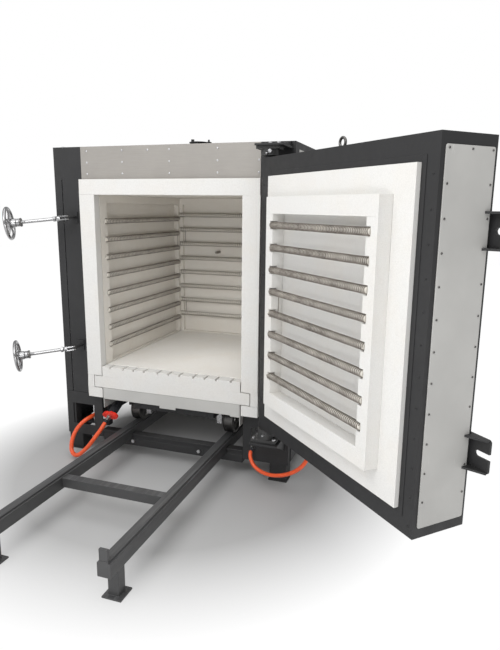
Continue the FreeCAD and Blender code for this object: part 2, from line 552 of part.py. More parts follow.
# ---------------------------------------------------------------- swing bolts
def make_swing_bolts():
    for name in BOLT_HEIGHTS:
        place = bolt_placement(name)
        prongs = []
        for low, high in ((-13.0, -5.4), (5.4, 13.0)):
            eye = Part.makeCylinder(16.0, high - low, V(0, 0, low))
            arm = box((0.0, 42.0), (-16.0, 16.0), (low, high))
            prongs.append(eye.fuse(arm))
        head = box((30.0, 60.0), (-16.0, 16.0), (-13.0, 13.0))
        shaft = rod((60.0, 0, 0), (HANDWHEEL_AT + 16.0, 0, 0), ROD_R)
        lock_nut = hexagon((60.0, 0, 0), (74.0, 0, 0), 30.0)
        bore = Part.makeCylinder(8.0 + RUNNING_FIT, 40.0, V(0, 0, -20.0))
        body = prongs[0].fuse(prongs[1]).fuse(head).fuse(shaft).fuse(lock_nut).cut(bore)
        save("swing_bolt_" + name, [body.removeSplitter()], place)

        ring = pipe((HANDWHEEL_AT - 70.0, 0, 0), (HANDWHEEL_AT - 61.0, 0, 0), 25.0, ROD_R + RUNNING_FIT)
        save("thrust_washer_" + name, [ring], place)

        hub = rod((HANDWHEEL_AT - 60.6, 0, 0), (HANDWHEEL_AT + 12.0, 0, 0), 27.0)
        rim = Part.makeTorus(HANDWHEEL_R, 9.5, V(HANDWHEEL_AT, 0, 0), V(1, 0, 0))
        spokes = []
        for k in range(5):
            angle = math.radians(90 + 72 * k)
            tip = (HANDWHEEL_AT, HANDWHEEL_R * math.cos(angle), HANDWHEEL_R * math.sin(angle))
            spokes.append(rod((HANDWHEEL_AT, 0, 0), tip, 6.0))
        wheel = hub
        for piece in spokes + [rim]:
            wheel = wheel.fuse(piece)
        hole = rod((HANDWHEEL_AT - 80.0, 0, 0), (HANDWHEEL_AT + 40.0, 0, 0), ROD_R + RUNNING_FIT)
        save("handwheel_" + name, [wheel.cut(hole)], place)

    lugs, pins = [], []
    for name, height in BOLT_HEIGHTS.items():
        turn = bolt_placement(name).Rotation
        pin_axis = turn.multVec(V(0, 0, 1))
        here = V(BOLT_X, BOLT_Y, height)
        side = V(0, 1, 0).cross(pin_axis).normalize()
        corner = here - side * 16.0 - pin_axis * 5.0
        tongue = Part.makeBox(32.0, -BOLT_Y - 3.0, 10.0, V(0, 0, 0))
        frame = FreeCAD.Rotation(side, V(0, 1, 0), pin_axis, "XZY")
        tongue.Placement = FreeCAD.Placement(corner, frame)
        nose = Part.makeCylinder(16.0, 10.0, here - pin_axis * 5.0, pin_axis)
        hole = Part.makeCylinder(8.0 + RUNNING_FIT, 30.0, here - pin_axis * 15.0, pin_axis)
        base = box((BOLT_X - 20.0, BOLT_X + 20.0), (-6.0, -FIT_GAP), (height - 32.0, height + 32.0))
        lugs.append(tongue.fuse(nose).cut(hole).fuse(base))
        shank = Part.makeCylinder(8.0, 34.0, here - pin_axis * 17.0, pin_axis)
        cap = Part.makeCylinder(12.0, 4.0, here + pin_axis * 13.4, pin_axis)
        pins.append(shank.fuse(cap))
    save("bolt_lugs", lugs + pins)


# ---------------------------------------------------------------- bogie
def groove_positions():
    places = []
    for brick in range(-2, 3):
        for step in (-1, 0, 1):
            x = brick * BRICK + step * GROOVE_PITCH
            if abs(x) < HEARTH_HALF - 20.0:
                places.append(x)
    return places


def make_bogie():
    front, back = HEARTH_FRONT, HEARTH_BACK
    inside = TRAY_HALF - 1.0
    tray = [box((-inside, inside), (front + 6.0, back), (TRAY_LOW, TRAY_LOW + 6.0))]
    tray += both_sides([box((inside, inside + 4.0), (front + 2.0, back), (326.0, KEY_LOW - 1.0))])
    save("bogie_tray", tray)
    apron = box((-TRAY_HALF + 2.0, TRAY_HALF - 2.0), (front, front + 5.0), (TRAY_LOW, KEY_LOW - 1.0))
    tab = box((-62.0, 43.0), (front, front + 5.0), (TRAY_LOW - 14.0, TRAY_LOW))
    step = box((385.0, TRAY_HALF - 2.0), (front, front + 5.0), (TRAY_LOW - 7.0, TRAY_LOW))
    save("bogie_apron", [apron.fuse(tab).fuse(step).removeSplitter()])

    grooves = [box((x - 6.0, x + 6.0), (front - 1.0, SLAB_FRONT), (HEARTH_TOP - 12.0, HEARTH_TOP + 1.0))
               for x in groove_positions()]
    channels = [box((x - 13.0, x + 13.0), (SLAB_FRONT, back + 1.0), (546.0, 576.0))
                for x in groove_positions()]
    bricks = [box((-TRAY_HALF + 8.0, TRAY_HALF - 8.0), (front + 6.0, back), (TRAY_LOW + 6.5, KEY_LOW))]
    edges = [-KEY_HALF, -1.5 * BRICK, -0.5 * BRICK, 0.5 * BRICK, 1.5 * BRICK, KEY_HALF]
    for left, right in zip(edges, edges[1:]):
        bricks.append(box((left, right), (front, back), (KEY_LOW, KEY_HIGH)))
    edges = [-HEARTH_HALF] + edges[1:-1] + [HEARTH_HALF]
    for left, right in zip(edges, edges[1:]):
        block = box((left, right), (front, back), (KEY_HIGH, 575.0))
        lip = box((left, right), (front, SLAB_FRONT), (575.0, HEARTH_TOP))
        bricks.append(cut_all(block.fuse(lip), grooves + channels))
    save("hearth_bricks", bricks)
    coils = [rod((x, SLAB_FRONT + 20.0, 561.0), (x, back - 20.0, 561.0), 10.0)
             for x in groove_positions()]
    save("hearth_elements", coils)

    slabs = []
    for left, right in ((-HEARTH_HALF, -BRICK * 0.5), (-BRICK * 0.5, BRICK * 1.5), (BRICK * 1.5, HEARTH_HALF)):
        for start, end in ((SLAB_FRONT + FIT_GAP, 530.0), (530.0, back)):
            slabs.append(box((left, right), (start, end), (576.3, SLAB_TOP)))
    save("hearth_slabs", slabs)

    chassis = both_sides([box((222.0, 262.0), (0.0, 1040.0), (325.5, TRAY_LOW - FIT_GAP))])
    for y in (0.0, 490.0, 980.0):
        chassis.append(box((-221.7, 221.7), (y, y + 60.0), (331.0, TRAY_LOW - FIT_GAP)))
        low = 345.0 if y else 368.0
        chassis += both_sides([box((262.3, 432.0), (y, y + 60.0), (low, TRAY_LOW - FIT_GAP))])
    save("bogie_chassis", chassis)
    blocks = []
    for y in (FRONT_AXLE_Y, FRONT_AXLE_Y + AXLE_SPACING):
        for side in (-1, 1):
            x = sorted((side * 226.0, side * 258.0))
            block = box(x, (y - 34.0, y + 34.0), (246.0, 325.2))
            blocks.append(block.cut(rod((x[0] - 5, y, AXLE_Z), (x[1] + 5, y, AXLE_Z), AXLE_R + RUNNING_FIT)))
    save("axle_bearings", blocks)


def make_wheelset(name, y):
    axle = rod((-356.0, y, AXLE_Z), (356.0, y, AXLE_Z), AXLE_R)
    pieces = [axle]
    for side in (-1, 1):
        centre = side * RAIL_X
        wheel = rod((centre - 24.0, y, AXLE_Z), (centre + 24.0, y, AXLE_Z), WHEEL_R)
        for edge in (-31.0, 24.0):
            wheel = wheel.fuse(rod((centre + edge, y, AXLE_Z), (centre + edge + 7.0, y, AXLE_Z), FLANGE_R))
        hub = rod((centre - 38.0, y, AXLE_Z), (centre + 38.0, y, AXLE_Z), 26.0)
        bore = rod((centre - 60.0, y, AXLE_Z), (centre + 60.0, y, AXLE_Z), AXLE_R)
        pieces.append(wheel.fuse(hub).cut(bore))
    save(name, pieces)


# ---------------------------------------------------------------- cables and their fittings
def cable(points, radius):
    """A round cable: straight runs joined by tangent arcs as large as the runs allow."""
    pts = [V(*p) for p in points]
    edges = []
    start = pts[0]
    length = 0.0
    radii = []
    for before, corner, after in zip(pts, pts[1:], pts[2:]):
        into = corner - before
        out = after - corner
        turn = into.getAngle(out)
        reach = 0.45 * min(into.Length, out.Length)
        bend = reach / math.tan(turn / 2)
        radii.append(round(bend))
        into.normalize()
        out.normalize()
        a = corner - into * reach
        b = corner + out * reach
        towards = (out - into).normalize()
        middle = corner + towards * (bend / math.cos(turn / 2) - bend)
        edges.append(Part.LineSegment(start, a).toShape())
        edges.append(Part.Arc(a, middle, b).toShape())
        length += (a - start).Length + bend * turn
        start = b
    edges.append(Part.LineSegment(start, pts[-1]).toShape())
    length += (pts[-1] - start).Length
    section = Part.Wire([Part.makeCircle(radius, pts[0], pts[1] - pts[0])])
    tube = Part.Wire(edges).makePipeShell([section], True, False)
    ratio = tube.Volume / (math.pi * radius * radius * length)
    print("cable length", round(length), "radii", radii, "volume ratio", round(ratio, 4), tube.isValid())
    return tube


BOGIE_CABLE = [(-573, 26, 234), (-573, -12, 234), (-592, -44, 222), (-620, -70, 190), (-641, -91, 148),
               (-650, -111, 100), (-643, -131, 55), (-612, -149, 29), (-570, -159, 38), (-530, -161, 72),
               (-495, -159, 108), (-465, -153, 148), (-443, -142, 182), (-424, -125, 213), (-415, -105, 239),
               (-415, -78, 251)]
DOOR_CABLE = [(508, -24, 188), (509, -50, 182), (514, -68, 158), (536, -84, 124), (578, -104, 104),
              (636, -132, 103), (700, -166, 122), (766, -204, 158), (826, -242, 206), (872, -274, 262),
              (898, -296, 318), (906, -303, 350), (906, -303, 375)]
PLUG_START = V(-415.0, -78.0, 251.0)
PLUG_TILT = 24.0             # degrees, the plug points up into its socket
PLUG_AXIS = V(0.0, math.cos(math.radians(PLUG_TILT)), math.sin(math.radians(PLUG_TILT)))


def on_plug(distance):
    return tuple(PLUG_START + PLUG_AXIS * distance)


def make_cables():
    save("bogie_cable", [cable(BOGIE_CABLE, CABLE_R)])
    save("door_cable", [cable(DOOR_CABLE, DOOR_CABLE_R)])

    gland = [rod(on_plug(0.0), on_plug(28.0), 14.0), hexagon(on_plug(28.0), on_plug(45.0), 30.0)]
    save("plug_gland", [gland[0].fuse(gland[1])])
    body = rod(on_plug(45.3), on_plug(60.4), 14.0).fuse(rod(on_plug(60.4), on_plug(120.0), 27.0))
    save("plug_body", [body])
    up = V(1, 0, 0).cross(PLUG_AXIS)
    ring = Part.makeBox(52.0, 50.0, 14.0)
    ring.Placement = FreeCAD.Placement(V(*on_plug(46.0)) - V(26.0, 0, 0) + up * 25.0,
                                       FreeCAD.Rotation(V(1, 0, 0), up * -1.0, PLUG_AXIS, "XZY"))
    for across, rise, radius in ((-26.0, 0.0, 25.0), (26.0, 0.0, 25.0), (12.0, 22.0, 7.0), (-12.0, -22.0, 7.0)):
        offset = V(across, 0, 0) + up * rise
        ring = ring.fuse(rod(V(*on_plug(46.0)) + offset, V(*on_plug(60.0)) + offset, radius))
    ring = ring.removeSplitter().cut(rod(on_plug(40.0), on_plug(70.0), 14.0 + RUNNING_FIT))
    save("plug_latch", [ring])
    socket = rod(on_plug(120.3), on_plug(158.0), 26.0)
    end = V(*on_plug(158.0))
    bracket = box((-489.0, end.x + 20.0), (end.y - 14.0, end.y + 30.0), (end.z - 6.0, end.z + 6.0))
    foot = box((-489.0, -481.0), (end.y - 14.0, end.y + 30.0), (165.0, end.z + 6.0))
    arm = box((-689.0, -489.0), (end.y - 14.0, end.y + 30.0), (165.0, 173.0))
    save("plug_socket", [socket.fuse(bracket).fuse(foot).fuse(arm)])

    start = BOGIE_CABLE[0]
    window = pipe(start, (start[0], 60.0, start[2]), 20.0, 10.0)
    plate = box((-600.0, -551.5), (60.3, 66.0), (173.3, 300.0))
    plate = plate.fuse(box((-600.0, -551.5), (66.0, 118.0), (173.3, 177.0)))
    start = DOOR_CABLE[0]
    slot_gland = rod(start, (start[0] - 1.2, 7.2, start[2] + 7.2), 15.0)
    slot_gland = slot_gland.common(box((480.0, 540.0), (-50.0, -FIT_GAP), (150.0, 230.0)))
    save("cable_glands", [window, plate, slot_gland])
    top = V(906.0, -303.0, 375.3)
    save("door_cable_gland", [Part.makeCylinder(15.0, DOOR_LOW - FIT_GAP - top.z, top)])


os.makedirs("parts", exist_ok=True)
make_base()
make_rails()
make_casing()
make_collar()
make_wall_bricks()
make_wall_elements()
make_terminal_box()
make_vent()
make_hinges()
make_door_hinge_arms()
make_door()
make_swing_bolts()
make_bogie()
make_wheelset("wheelset_front", FRONT_AXLE_Y)
make_wheelset("wheelset_rear", FRONT_AXLE_Y + AXLE_SPACING)
make_cables()
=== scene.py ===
import math

import bmesh
import bpy
import numpy as np
from mathutils import Matrix, Vector


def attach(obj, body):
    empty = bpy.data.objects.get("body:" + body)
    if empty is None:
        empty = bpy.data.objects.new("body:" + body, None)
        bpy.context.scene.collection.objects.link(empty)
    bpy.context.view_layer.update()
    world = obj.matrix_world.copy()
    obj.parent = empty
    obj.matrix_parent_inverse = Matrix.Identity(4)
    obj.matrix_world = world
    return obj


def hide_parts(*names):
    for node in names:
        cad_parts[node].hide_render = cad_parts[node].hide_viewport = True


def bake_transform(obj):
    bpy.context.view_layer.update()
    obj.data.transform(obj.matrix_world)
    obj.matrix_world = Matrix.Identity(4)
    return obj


# The looks of a car kiln for pottery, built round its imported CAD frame. Metres, +Z up.

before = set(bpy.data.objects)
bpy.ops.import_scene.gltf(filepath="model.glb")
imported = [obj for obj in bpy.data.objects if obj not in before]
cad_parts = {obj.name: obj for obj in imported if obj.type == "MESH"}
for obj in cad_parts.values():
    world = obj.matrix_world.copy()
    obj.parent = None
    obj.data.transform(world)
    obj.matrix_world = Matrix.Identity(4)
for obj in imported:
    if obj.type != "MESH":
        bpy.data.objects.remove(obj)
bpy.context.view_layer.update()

# -------------------------------- sizes shared with the CAD
HINGE = Vector((0.6183, -0.1212, 0.0))
DOOR_OPEN = math.radians(134.86)
DOOR_IN, DOOR_OUT = -0.074, -0.316       # the shut door's two faces along Y
CASING_LEFT, CASING_RIGHT = -0.750, 0.718
CASING_SILL = 0.400
BOLT_PIVOT = (-0.620, -0.084)
BOLT_HEIGHTS = {"upper": 1.473, "lower": 0.697}
BOLT_REST = {"upper": Vector((-0.8848, -0.4528, -0.1097)).normalized(),
             "lower": Vector((-0.8356, -0.5385, -0.1080)).normalized()}
HANDWHEEL_AT = 0.320                     # from the pin, along the bolt
HANDWHEEL_R = 0.086
BOLT_SHANK_R = 0.0102
FORK_INNER, FORK_OUTER = 0.0056, 0.0130  # a fork cheek's two faces, from the bolt's middle plane
WALL_ELEMENTS = (1.453, 0.107)           # height of the top element, pitch
BACK_ELEMENTS = (1.482, 0.107)
DOOR_ELEMENTS = (1.464, 0.1017)
COIL_R = 0.0147                          # radius of a coil's wire centre line
COIL_WIRE = 0.0019                       # radius of the wire itself
COIL_PITCH = 0.0104                      # on the door
WALL_COIL_PITCH = 0.0165
ELEMENT_TURN = 0.014                     # where a link leaves its element, above or below its middle
LINK_WIRE = 0.0021                       # radius
RAIL_X = 0.313
AXLE_Z = 0.275
AXLE_R = 0.015
AXLES_Y = {"front": 0.175, "rear": 0.875}

# a cable's route, from the gland in the base's front plate to its other end
BOGIE_CABLE = [(-0.573, 0.026, 0.234), (-0.573, -0.012, 0.234), (-0.592, -0.044, 0.222),
               (-0.620, -0.070, 0.190), (-0.641, -0.091, 0.148), (-0.650, -0.111, 0.100),
               (-0.643, -0.131, 0.055), (-0.612, -0.149, 0.029), (-0.570, -0.159, 0.038),
               (-0.530, -0.161, 0.072), (-0.495, -0.159, 0.108), (-0.465, -0.153, 0.148),
               (-0.443, -0.142, 0.182), (-0.424, -0.125, 0.213), (-0.415, -0.105, 0.239),
               (-0.415, -0.078, 0.251)]
BOGIE_CABLE_R = 0.0125
DOOR_CABLE = [(0.508, -0.024, 0.188), (0.509, -0.050, 0.182), (0.514, -0.068, 0.158),
              (0.536, -0.084, 0.124), (0.578, -0.104, 0.104), (0.636, -0.132, 0.103),
              (0.700, -0.166, 0.122), (0.766, -0.204, 0.158), (0.826, -0.242, 0.206),
              (0.872, -0.274, 0.262), (0.898, -0.296, 0.318), (0.906, -0.303, 0.350),
              (0.906, -0.303, 0.375)]
DOOR_CABLE_R = 0.0105
PLUG_START = Vector(BOGIE_CABLE[-1])     # where the cable enters its gland
PLUG_TILT = math.radians(24.0)
PLUG_AXIS = Vector((0.0, math.cos(PLUG_TILT), math.sin(PLUG_TILT)))
PLUG_R = 0.0268
WING_AT = 0.0461                         # along the plug's axis, from its gland's mouth
WING_DEEP = 0.0137

DOOR = Matrix.Translation(HINGE) @ Matrix.Rotation(DOOR_OPEN, 4, "Z") @ Matrix.Translation(-HINGE)


def bolt_matrix(name):
    """Places a swing bolt drawn along +X about a pin along +Z."""
    along = BOLT_REST[name]
    pin = along.cross(Vector((0, -1, 0))).normalized()
    side = pin.cross(along)
    turn = Matrix((along, side, pin)).transposed().to_4x4()
    return Matrix.Translation((*BOLT_PIVOT, BOLT_HEIGHTS[name])) @ turn


# -------------------------------- mesh helpers
def across(axis):
    """Two unit vectors square to an axis."""
    axis = Vector(axis).normalized()
    guide = Vector((0, 0, 1)) if abs(axis.z) < 0.9 else Vector((1, 0, 0))
    first = axis.cross(guide).normalized()
    return first, axis.cross(first)


class Shape:
    """Vertices and faces of one piece, gathered from simple forms."""

    def __init__(self):
        self.verts = []
        self.faces = []
        self.tints = []
        self.islands = 0

    def add(self, verts, faces):
        start = len(self.verts)
        self.verts += [Vector(v) for v in verts]
        self.faces += [tuple(start + i for i in f) for f in faces]
        self.islands += 1
        self.tints += [(self.islands * 0.618034) % 1.0] * len(faces)

    def box(self, lo, hi):
        verts = [(x, y, z) for x in (lo[0], hi[0]) for y in (lo[1], hi[1]) for z in (lo[2], hi[2])]
        self.add(verts, [(0, 1, 3, 2), (4, 6, 7, 5), (0, 4, 5, 1), (2, 3, 7, 6), (0, 2, 6, 4), (1, 5, 7, 3)])

    def prism(self, outline, along):
        """A flat outline pushed along a vector."""
        n = len(outline)
        ring = [Vector(p) for p in outline]
        verts = ring + [p + Vector(along) for p in ring]
        faces = [(k, (k + 1) % n, n + (k + 1) % n, n + k) for k in range(n)]
        self.add(verts, faces + [tuple(reversed(range(n))), tuple(range(n, 2 * n))])

    def lathe(self, start, axis, profile, sides=32):
        """A profile of (distance, radius) turned about an axis; a radius of 0 closes an end."""
        start, axis = Vector(start), Vector(axis).normalized()
        a, b = across(axis)
        verts, rings, faces = [], [], []
        for distance, radius in profile:
            centre = start + axis * distance
            if radius <= 0:
                rings.append([len(verts)])
                verts.append(centre)
                continue
            rings.append(list(range(len(verts), len(verts) + sides)))
            for k in range(sides):
                t = 2 * math.pi * k / sides
                verts.append(centre + (a * math.cos(t) + b * math.sin(t)) * radius)
        for low, high in zip(rings, rings[1:]):
            for k in range(sides):
                j = (k + 1) % sides
                if len(low) == 1:
                    faces.append((low[0], high[j], high[k]))
                elif len(high) == 1:
                    faces.append((low[k], low[j], high[0]))
                else:
                    faces.append((low[k], low[j], high[j], high[k]))
        if len(rings[0]) > 1 and profile[0] != profile[-1]:
            faces.append(tuple(reversed(rings[0])))
        if len(rings[-1]) > 1 and profile[0] != profile[-1]:
            faces.append(tuple(rings[-1]))
        self.add(verts, faces)

    def rod(self, start, end, radius, sides=24, ease=0.0):
        """A round bar with eased ends."""
        along = Vector(end) - Vector(start)
        length = along.length
        ease = min(ease, radius * 0.9, length * 0.45)
        if ease > 0:
            profile = [(0, radius - ease), (ease, radius), (length - ease, radius), (length, radius - ease)]
        else:
            profile = [(0, radius), (length, radius)]
        self.lathe(start, along, profile, sides)

    def tube(self, points, radius, sides=8, closed=False):
        """A round tube through points; radius is one number or one for each point."""
        pts = np.array([tuple(p) for p in points], float)
        n = len(pts)
        if closed:
            tangent = np.roll(pts, -1, 0) - np.roll(pts, 1, 0)
        else:
            tangent = np.gradient(pts, axis=0)
        tangent /= np.linalg.norm(tangent, axis=1)[:, None]
        radii = np.broadcast_to(np.asarray(radius, float), (n,))
        side = np.array(across(tangent[0])[0])
        ring = np.arange(sides) * 2 * math.pi / sides
        verts = []
        for k in range(n):
            side = side - tangent[k] * side.dot(tangent[k])
            side /= np.linalg.norm(side)
            other = np.cross(tangent[k], side)
            verts.append(pts[k] + radii[k] * (np.cos(ring)[:, None] * side + np.sin(ring)[:, None] * other))
        verts = np.concatenate(verts)
        faces = []
        for k in range(n if closed else n - 1):
            low, high = k * sides, (k + 1) % n * sides
            faces += [(low + i, low + (i + 1) % sides, high + (i + 1) % sides, high + i)
                      for i in range(sides)]
        if not closed:
            faces += [tuple(reversed(range(sides))), tuple(range((n - 1) * sides, n * sides))]
        self.add(verts.tolist(), faces)

    def hexagon(self, start, axis, flats, high, ease=0.001):
        """A hexagon nut or bolt head with eased edges."""
        radius = flats / math.sqrt(3)
        profile = [(0, radius), (high - ease, radius), (high, radius - 1.6 * ease)]
        self.lathe(start, axis, profile, 6)

    def moved(self, matrix):
        self.verts = [matrix @ v for v in self.verts]
        return self


def make_mesh(name, shape):
    """A mesh of a shape; each face carries the tint of the solid it belongs to."""
    mesh = bpy.data.meshes.new(name)
    mesh.from_pydata([tuple(v) for v in shape.verts], [], shape.faces)
    tint = mesh.attributes.new("tint", "FLOAT", "FACE")
    tint.data.foreach_set("value", np.array(shape.tints, np.float32))
    mesh.update()
    return mesh


def fix_normals(mesh):
    work = bmesh.new()
    work.from_mesh(mesh)
    bmesh.ops.recalc_face_normals(work, faces=work.faces)
    work.to_mesh(mesh)
    work.free()


def smooth_below(mesh, degrees):
    """Smooth shading, with edges sharper than the angle left sharp."""
    work = bmesh.new()
    work.from_mesh(mesh)
    limit = math.radians(degrees)
    for edge in work.edges:
        sharp = len(edge.link_faces) != 2 or edge.calc_face_angle(0.0) > limit
        edge.smooth = not sharp
    for face in work.faces:
        face.smooth = True
    work.to_mesh(mesh)
    work.free()


def link(thing):
    """Puts an object in the scene."""
    bpy.context.scene.collection.objects.link(thing)
    return thing


def solid_box(verts):
    """The lowest and highest corners of a solid's vertices."""
    return (Vector([min(v[k] for v in verts) for k in range(3)]),
            Vector([max(v[k] for v in verts) for k in range(3)]))


def into_frame(matrix):
    """From the kiln's frame into the one a matrix stands for, or no change."""
    return matrix.inverted() if matrix else Matrix.Identity(4)


def piece(name, shape, finish, body, replaces=(), bevel=0.0, crease=32.0, segments=2):
    """Makes an object from a shape, gives it its finish and hangs it on its body."""
    mesh = make_mesh(name, shape)
    fix_normals(mesh)
    smooth_below(mesh, crease)
    thing = link(bpy.data.objects.new(name, mesh))
    mesh.materials.append(M[finish])
    if bevel > 0:
        edge = thing.modifiers.new("eased_edges", "BEVEL")
        edge.width = bevel
        edge.segments = segments
        edge.limit_method = "ANGLE"
        edge.angle_limit = math.radians(crease)
        edge.harden_normals = True
        edge.miter_outer = "MITER_ARC"
    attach(thing, body)
    if replaces:
        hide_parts(*replaces)
    return thing


def cad_islands(node):
    """The separate solids of a CAD node, each as (vertices, faces) with flat faces joined up."""
    work = bmesh.new()
    work.from_mesh(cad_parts[node].data)
    bmesh.ops.remove_doubles(work, verts=work.verts, dist=2e-6)
    bmesh.ops.dissolve_limit(work, angle_limit=math.radians(0.4), verts=work.verts, edges=work.edges)
    work.verts.index_update()
    seen, islands = set(), []
    for first in work.verts:
        if first.index in seen:
            continue
        seen.add(first.index)
        group, stack = [], [first]
        while stack:
            vert = stack.pop()
            group.append(vert)
            for edge in vert.link_edges:
                other = edge.other_vert(vert)
                if other.index not in seen:
                    seen.add(other.index)
                    stack.append(other)
        place = {v.index: k for k, v in enumerate(group)}
        faces = sorted({f for v in group for f in v.link_faces}, key=lambda f: f.index)
        islands.append(([v.co.copy() for v in group], [[place[v.index] for v in f.verts] for f in faces]))
    work.free()
    return islands


def refine(node, finish, body, bevel=0.001, name=None):
    """A CAD node's own shape with eased edges."""
    shape = Shape()
    for verts, faces in cad_islands(node):
        shape.add(verts, faces)
    return piece(name or node + "_finished", shape, finish, body, [node], bevel)


def stack_bricks(shape, lo, hi, long_axis, length, height, matrix=None, gap=0.0003):
    """Fills a block with courses of bricks in half bond."""
    rows = max(1, round((hi[2] - lo[2]) / height))
    cols = max(1, round((hi[long_axis] - lo[long_axis]) / length))
    row_high = (hi[2] - lo[2]) / rows
    col_long = (hi[long_axis] - lo[long_axis]) / cols
    for r in range(rows):
        cuts = [lo[long_axis] + col_long * k for k in range(cols + 1)]
        if r % 2 and cols > 1:
            cuts = [cuts[0]] + [c + col_long / 2 for c in cuts[:-1]] + [cuts[-1]]
        for left, right in zip(cuts, cuts[1:]):
            a, b = list(lo), list(hi)
            a[long_axis], b[long_axis] = left + gap, right - gap
            a[2], b[2] = lo[2] + r * row_high + gap, lo[2] + (r + 1) * row_high - gap
            brick = Shape()
            brick.box(a, b)
            if matrix:
                brick.moved(matrix)
            shape.add(brick.verts, brick.faces)


def brickwork(node, finish, body, length=0.230, height=0.114, matrix=None):
    """A CAD node of blocks, with its plain blocks built up from bricks and the cut ones kept."""
    shape = Shape()
    back = into_frame(matrix)
    for verts, faces in cad_islands(node):
        if len(verts) != 8:
            shape.add(verts, faces)
            continue
        lo, hi = solid_box([back @ v for v in verts])
        long_axis = 0 if hi.x - lo.x > hi.y - lo.y else 1
        stack_bricks(shape, lo, hi, long_axis, length, height, matrix)
    return piece(node + "_laid", shape, finish, body, [node], 0.0014)


# -------------------------------- material helpers
class Graph:
    """A node material under construction, in the object's own coordinates (metres)."""

    def __init__(self, name, roughness=0.5, metallic=0.0, coat=0.0):
        self.material = bpy.data.materials.new(name)
        self.material.use_nodes = True
        self.tree = self.material.node_tree
        self.tree.nodes.clear()
        self.shader = self.new("BsdfPrincipled")
        self.link(self.shader.outputs[0], self.new("OutputMaterial").inputs["Surface"])
        self.shader.inputs["Roughness"].default_value = roughness
        self.shader.inputs["Metallic"].default_value = metallic
        self.shader.inputs["Coat Weight"].default_value = coat
        self.where = self.new("TexCoord").outputs["Object"]

    def new(self, kind):
        return self.tree.nodes.new("ShaderNode" + kind)

    def link(self, source, socket):
        """Feeds a socket with a number, a colour or another node's output."""
        if isinstance(source, (int, float)):
            socket.default_value = source
        elif isinstance(source, tuple):
            socket.default_value = (*source, 1.0)
        else:
            self.tree.links.new(source, socket)

    def stretched(self, scale):
        node = self.new("Mapping")
        node.inputs["Scale"].default_value = scale
        self.link(self.where, node.inputs["Vector"])
        return node.outputs[0]

    def noise(self, scale, detail=3.0, roughness=0.55, stretch=None):
        node = self.new("TexNoise")
        node.inputs["Scale"].default_value = scale
        node.inputs["Detail"].default_value = detail
        node.inputs["Roughness"].default_value = roughness
        self.link(self.stretched(stretch) if stretch else self.where, node.inputs["Vector"])
        return node.outputs["Fac"]

    def cells(self, scale):
        node = self.new("TexVoronoi")
        node.inputs["Scale"].default_value = scale
        self.link(self.where, node.inputs["Vector"])
        return node.outputs["Distance"]

    def remap(self, value, low, high, to_low=0.0, to_high=1.0):
        node = self.new("MapRange")
        node.clamp = True
        for name, number in (("From Min", low), ("From Max", high), ("To Min", to_low), ("To Max", to_high)):
            node.inputs[name].default_value = number
        self.link(value, node.inputs["Value"])
        return node.outputs["Result"]

    def mix(self, factor, first, second, mode="MIX"):
        node = self.new("Mix")
        node.data_type = "RGBA"
        node.blend_type = mode
        self.link(factor, node.inputs["Factor"])
        self.link(first, node.inputs["A"])
        self.link(second, node.inputs["B"])
        return node.outputs["Result"]

    def times(self, first, second):
        return self.maths("MULTIPLY", first, second)

    def maths(self, operation, first, second=0.0):
        node = self.new("Math")
        node.operation = operation
        self.link(first, node.inputs[0])
        self.link(second, node.inputs[1])
        return node.outputs[0]

    def attribute(self, name):
        node = self.new("Attribute")
        node.attribute_name = name
        return node.outputs["Fac"]

    def facing_up(self):
        """The share of a surface's normal that points up, in the object's own frame."""
        node = self.new("TexCoord")
        split = self.new("SeparateXYZ")
        self.link(node.outputs["Normal"], split.inputs[0])
        return split.outputs["Z"]

    def colour(self, source):
        self.link(source, self.shader.inputs["Base Color"])

    def rough(self, source):
        self.link(source, self.shader.inputs["Roughness"])

    def bump(self, height, distance, strength=1.0):
        node = self.new("Bump")
        node.inputs["Distance"].default_value = distance
        node.inputs["Strength"].default_value = strength
        self.link(height, node.inputs["Height"])
        self.link(node.outputs[0], self.shader.inputs["Normal"])


def shade(colour, factor):
    return tuple(min(1.0, c * factor) for c in colour)


def powder_coat(name, colour, roughness, dust, texture=0.00006):
    """Powder paint: fine orange peel, a little cloudiness, dust on what faces up, rare rubbed marks."""
    g = Graph(name)
    cloud = g.remap(g.noise(2.3, 4.0), 0.3, 0.7)
    base = g.mix(cloud, shade(colour, 0.90), shade(colour, 1.12))
    rubbed = g.remap(g.noise(38.0, 5.0, 0.7, (1.0, 1.0, 0.25)), 0.66, 0.76, 0.0, 0.30)
    base = g.mix(rubbed, base, shade(colour, 2.0))
    dusty = g.times(g.remap(g.facing_up(), 0.5, 1.0), g.remap(g.noise(9.0, 5.0, 0.6), 0.35, 0.7, 0.2, 1.0))
    base = g.mix(g.times(dusty, dust), base, (0.45, 0.43, 0.40))
    g.colour(base)
    g.rough(g.remap(g.noise(14.0, 4.0), 0.3, 0.7, roughness - 0.07, roughness + 0.09))
    g.bump(g.noise(1100.0, 2.0), texture, 0.9)
    return g.material


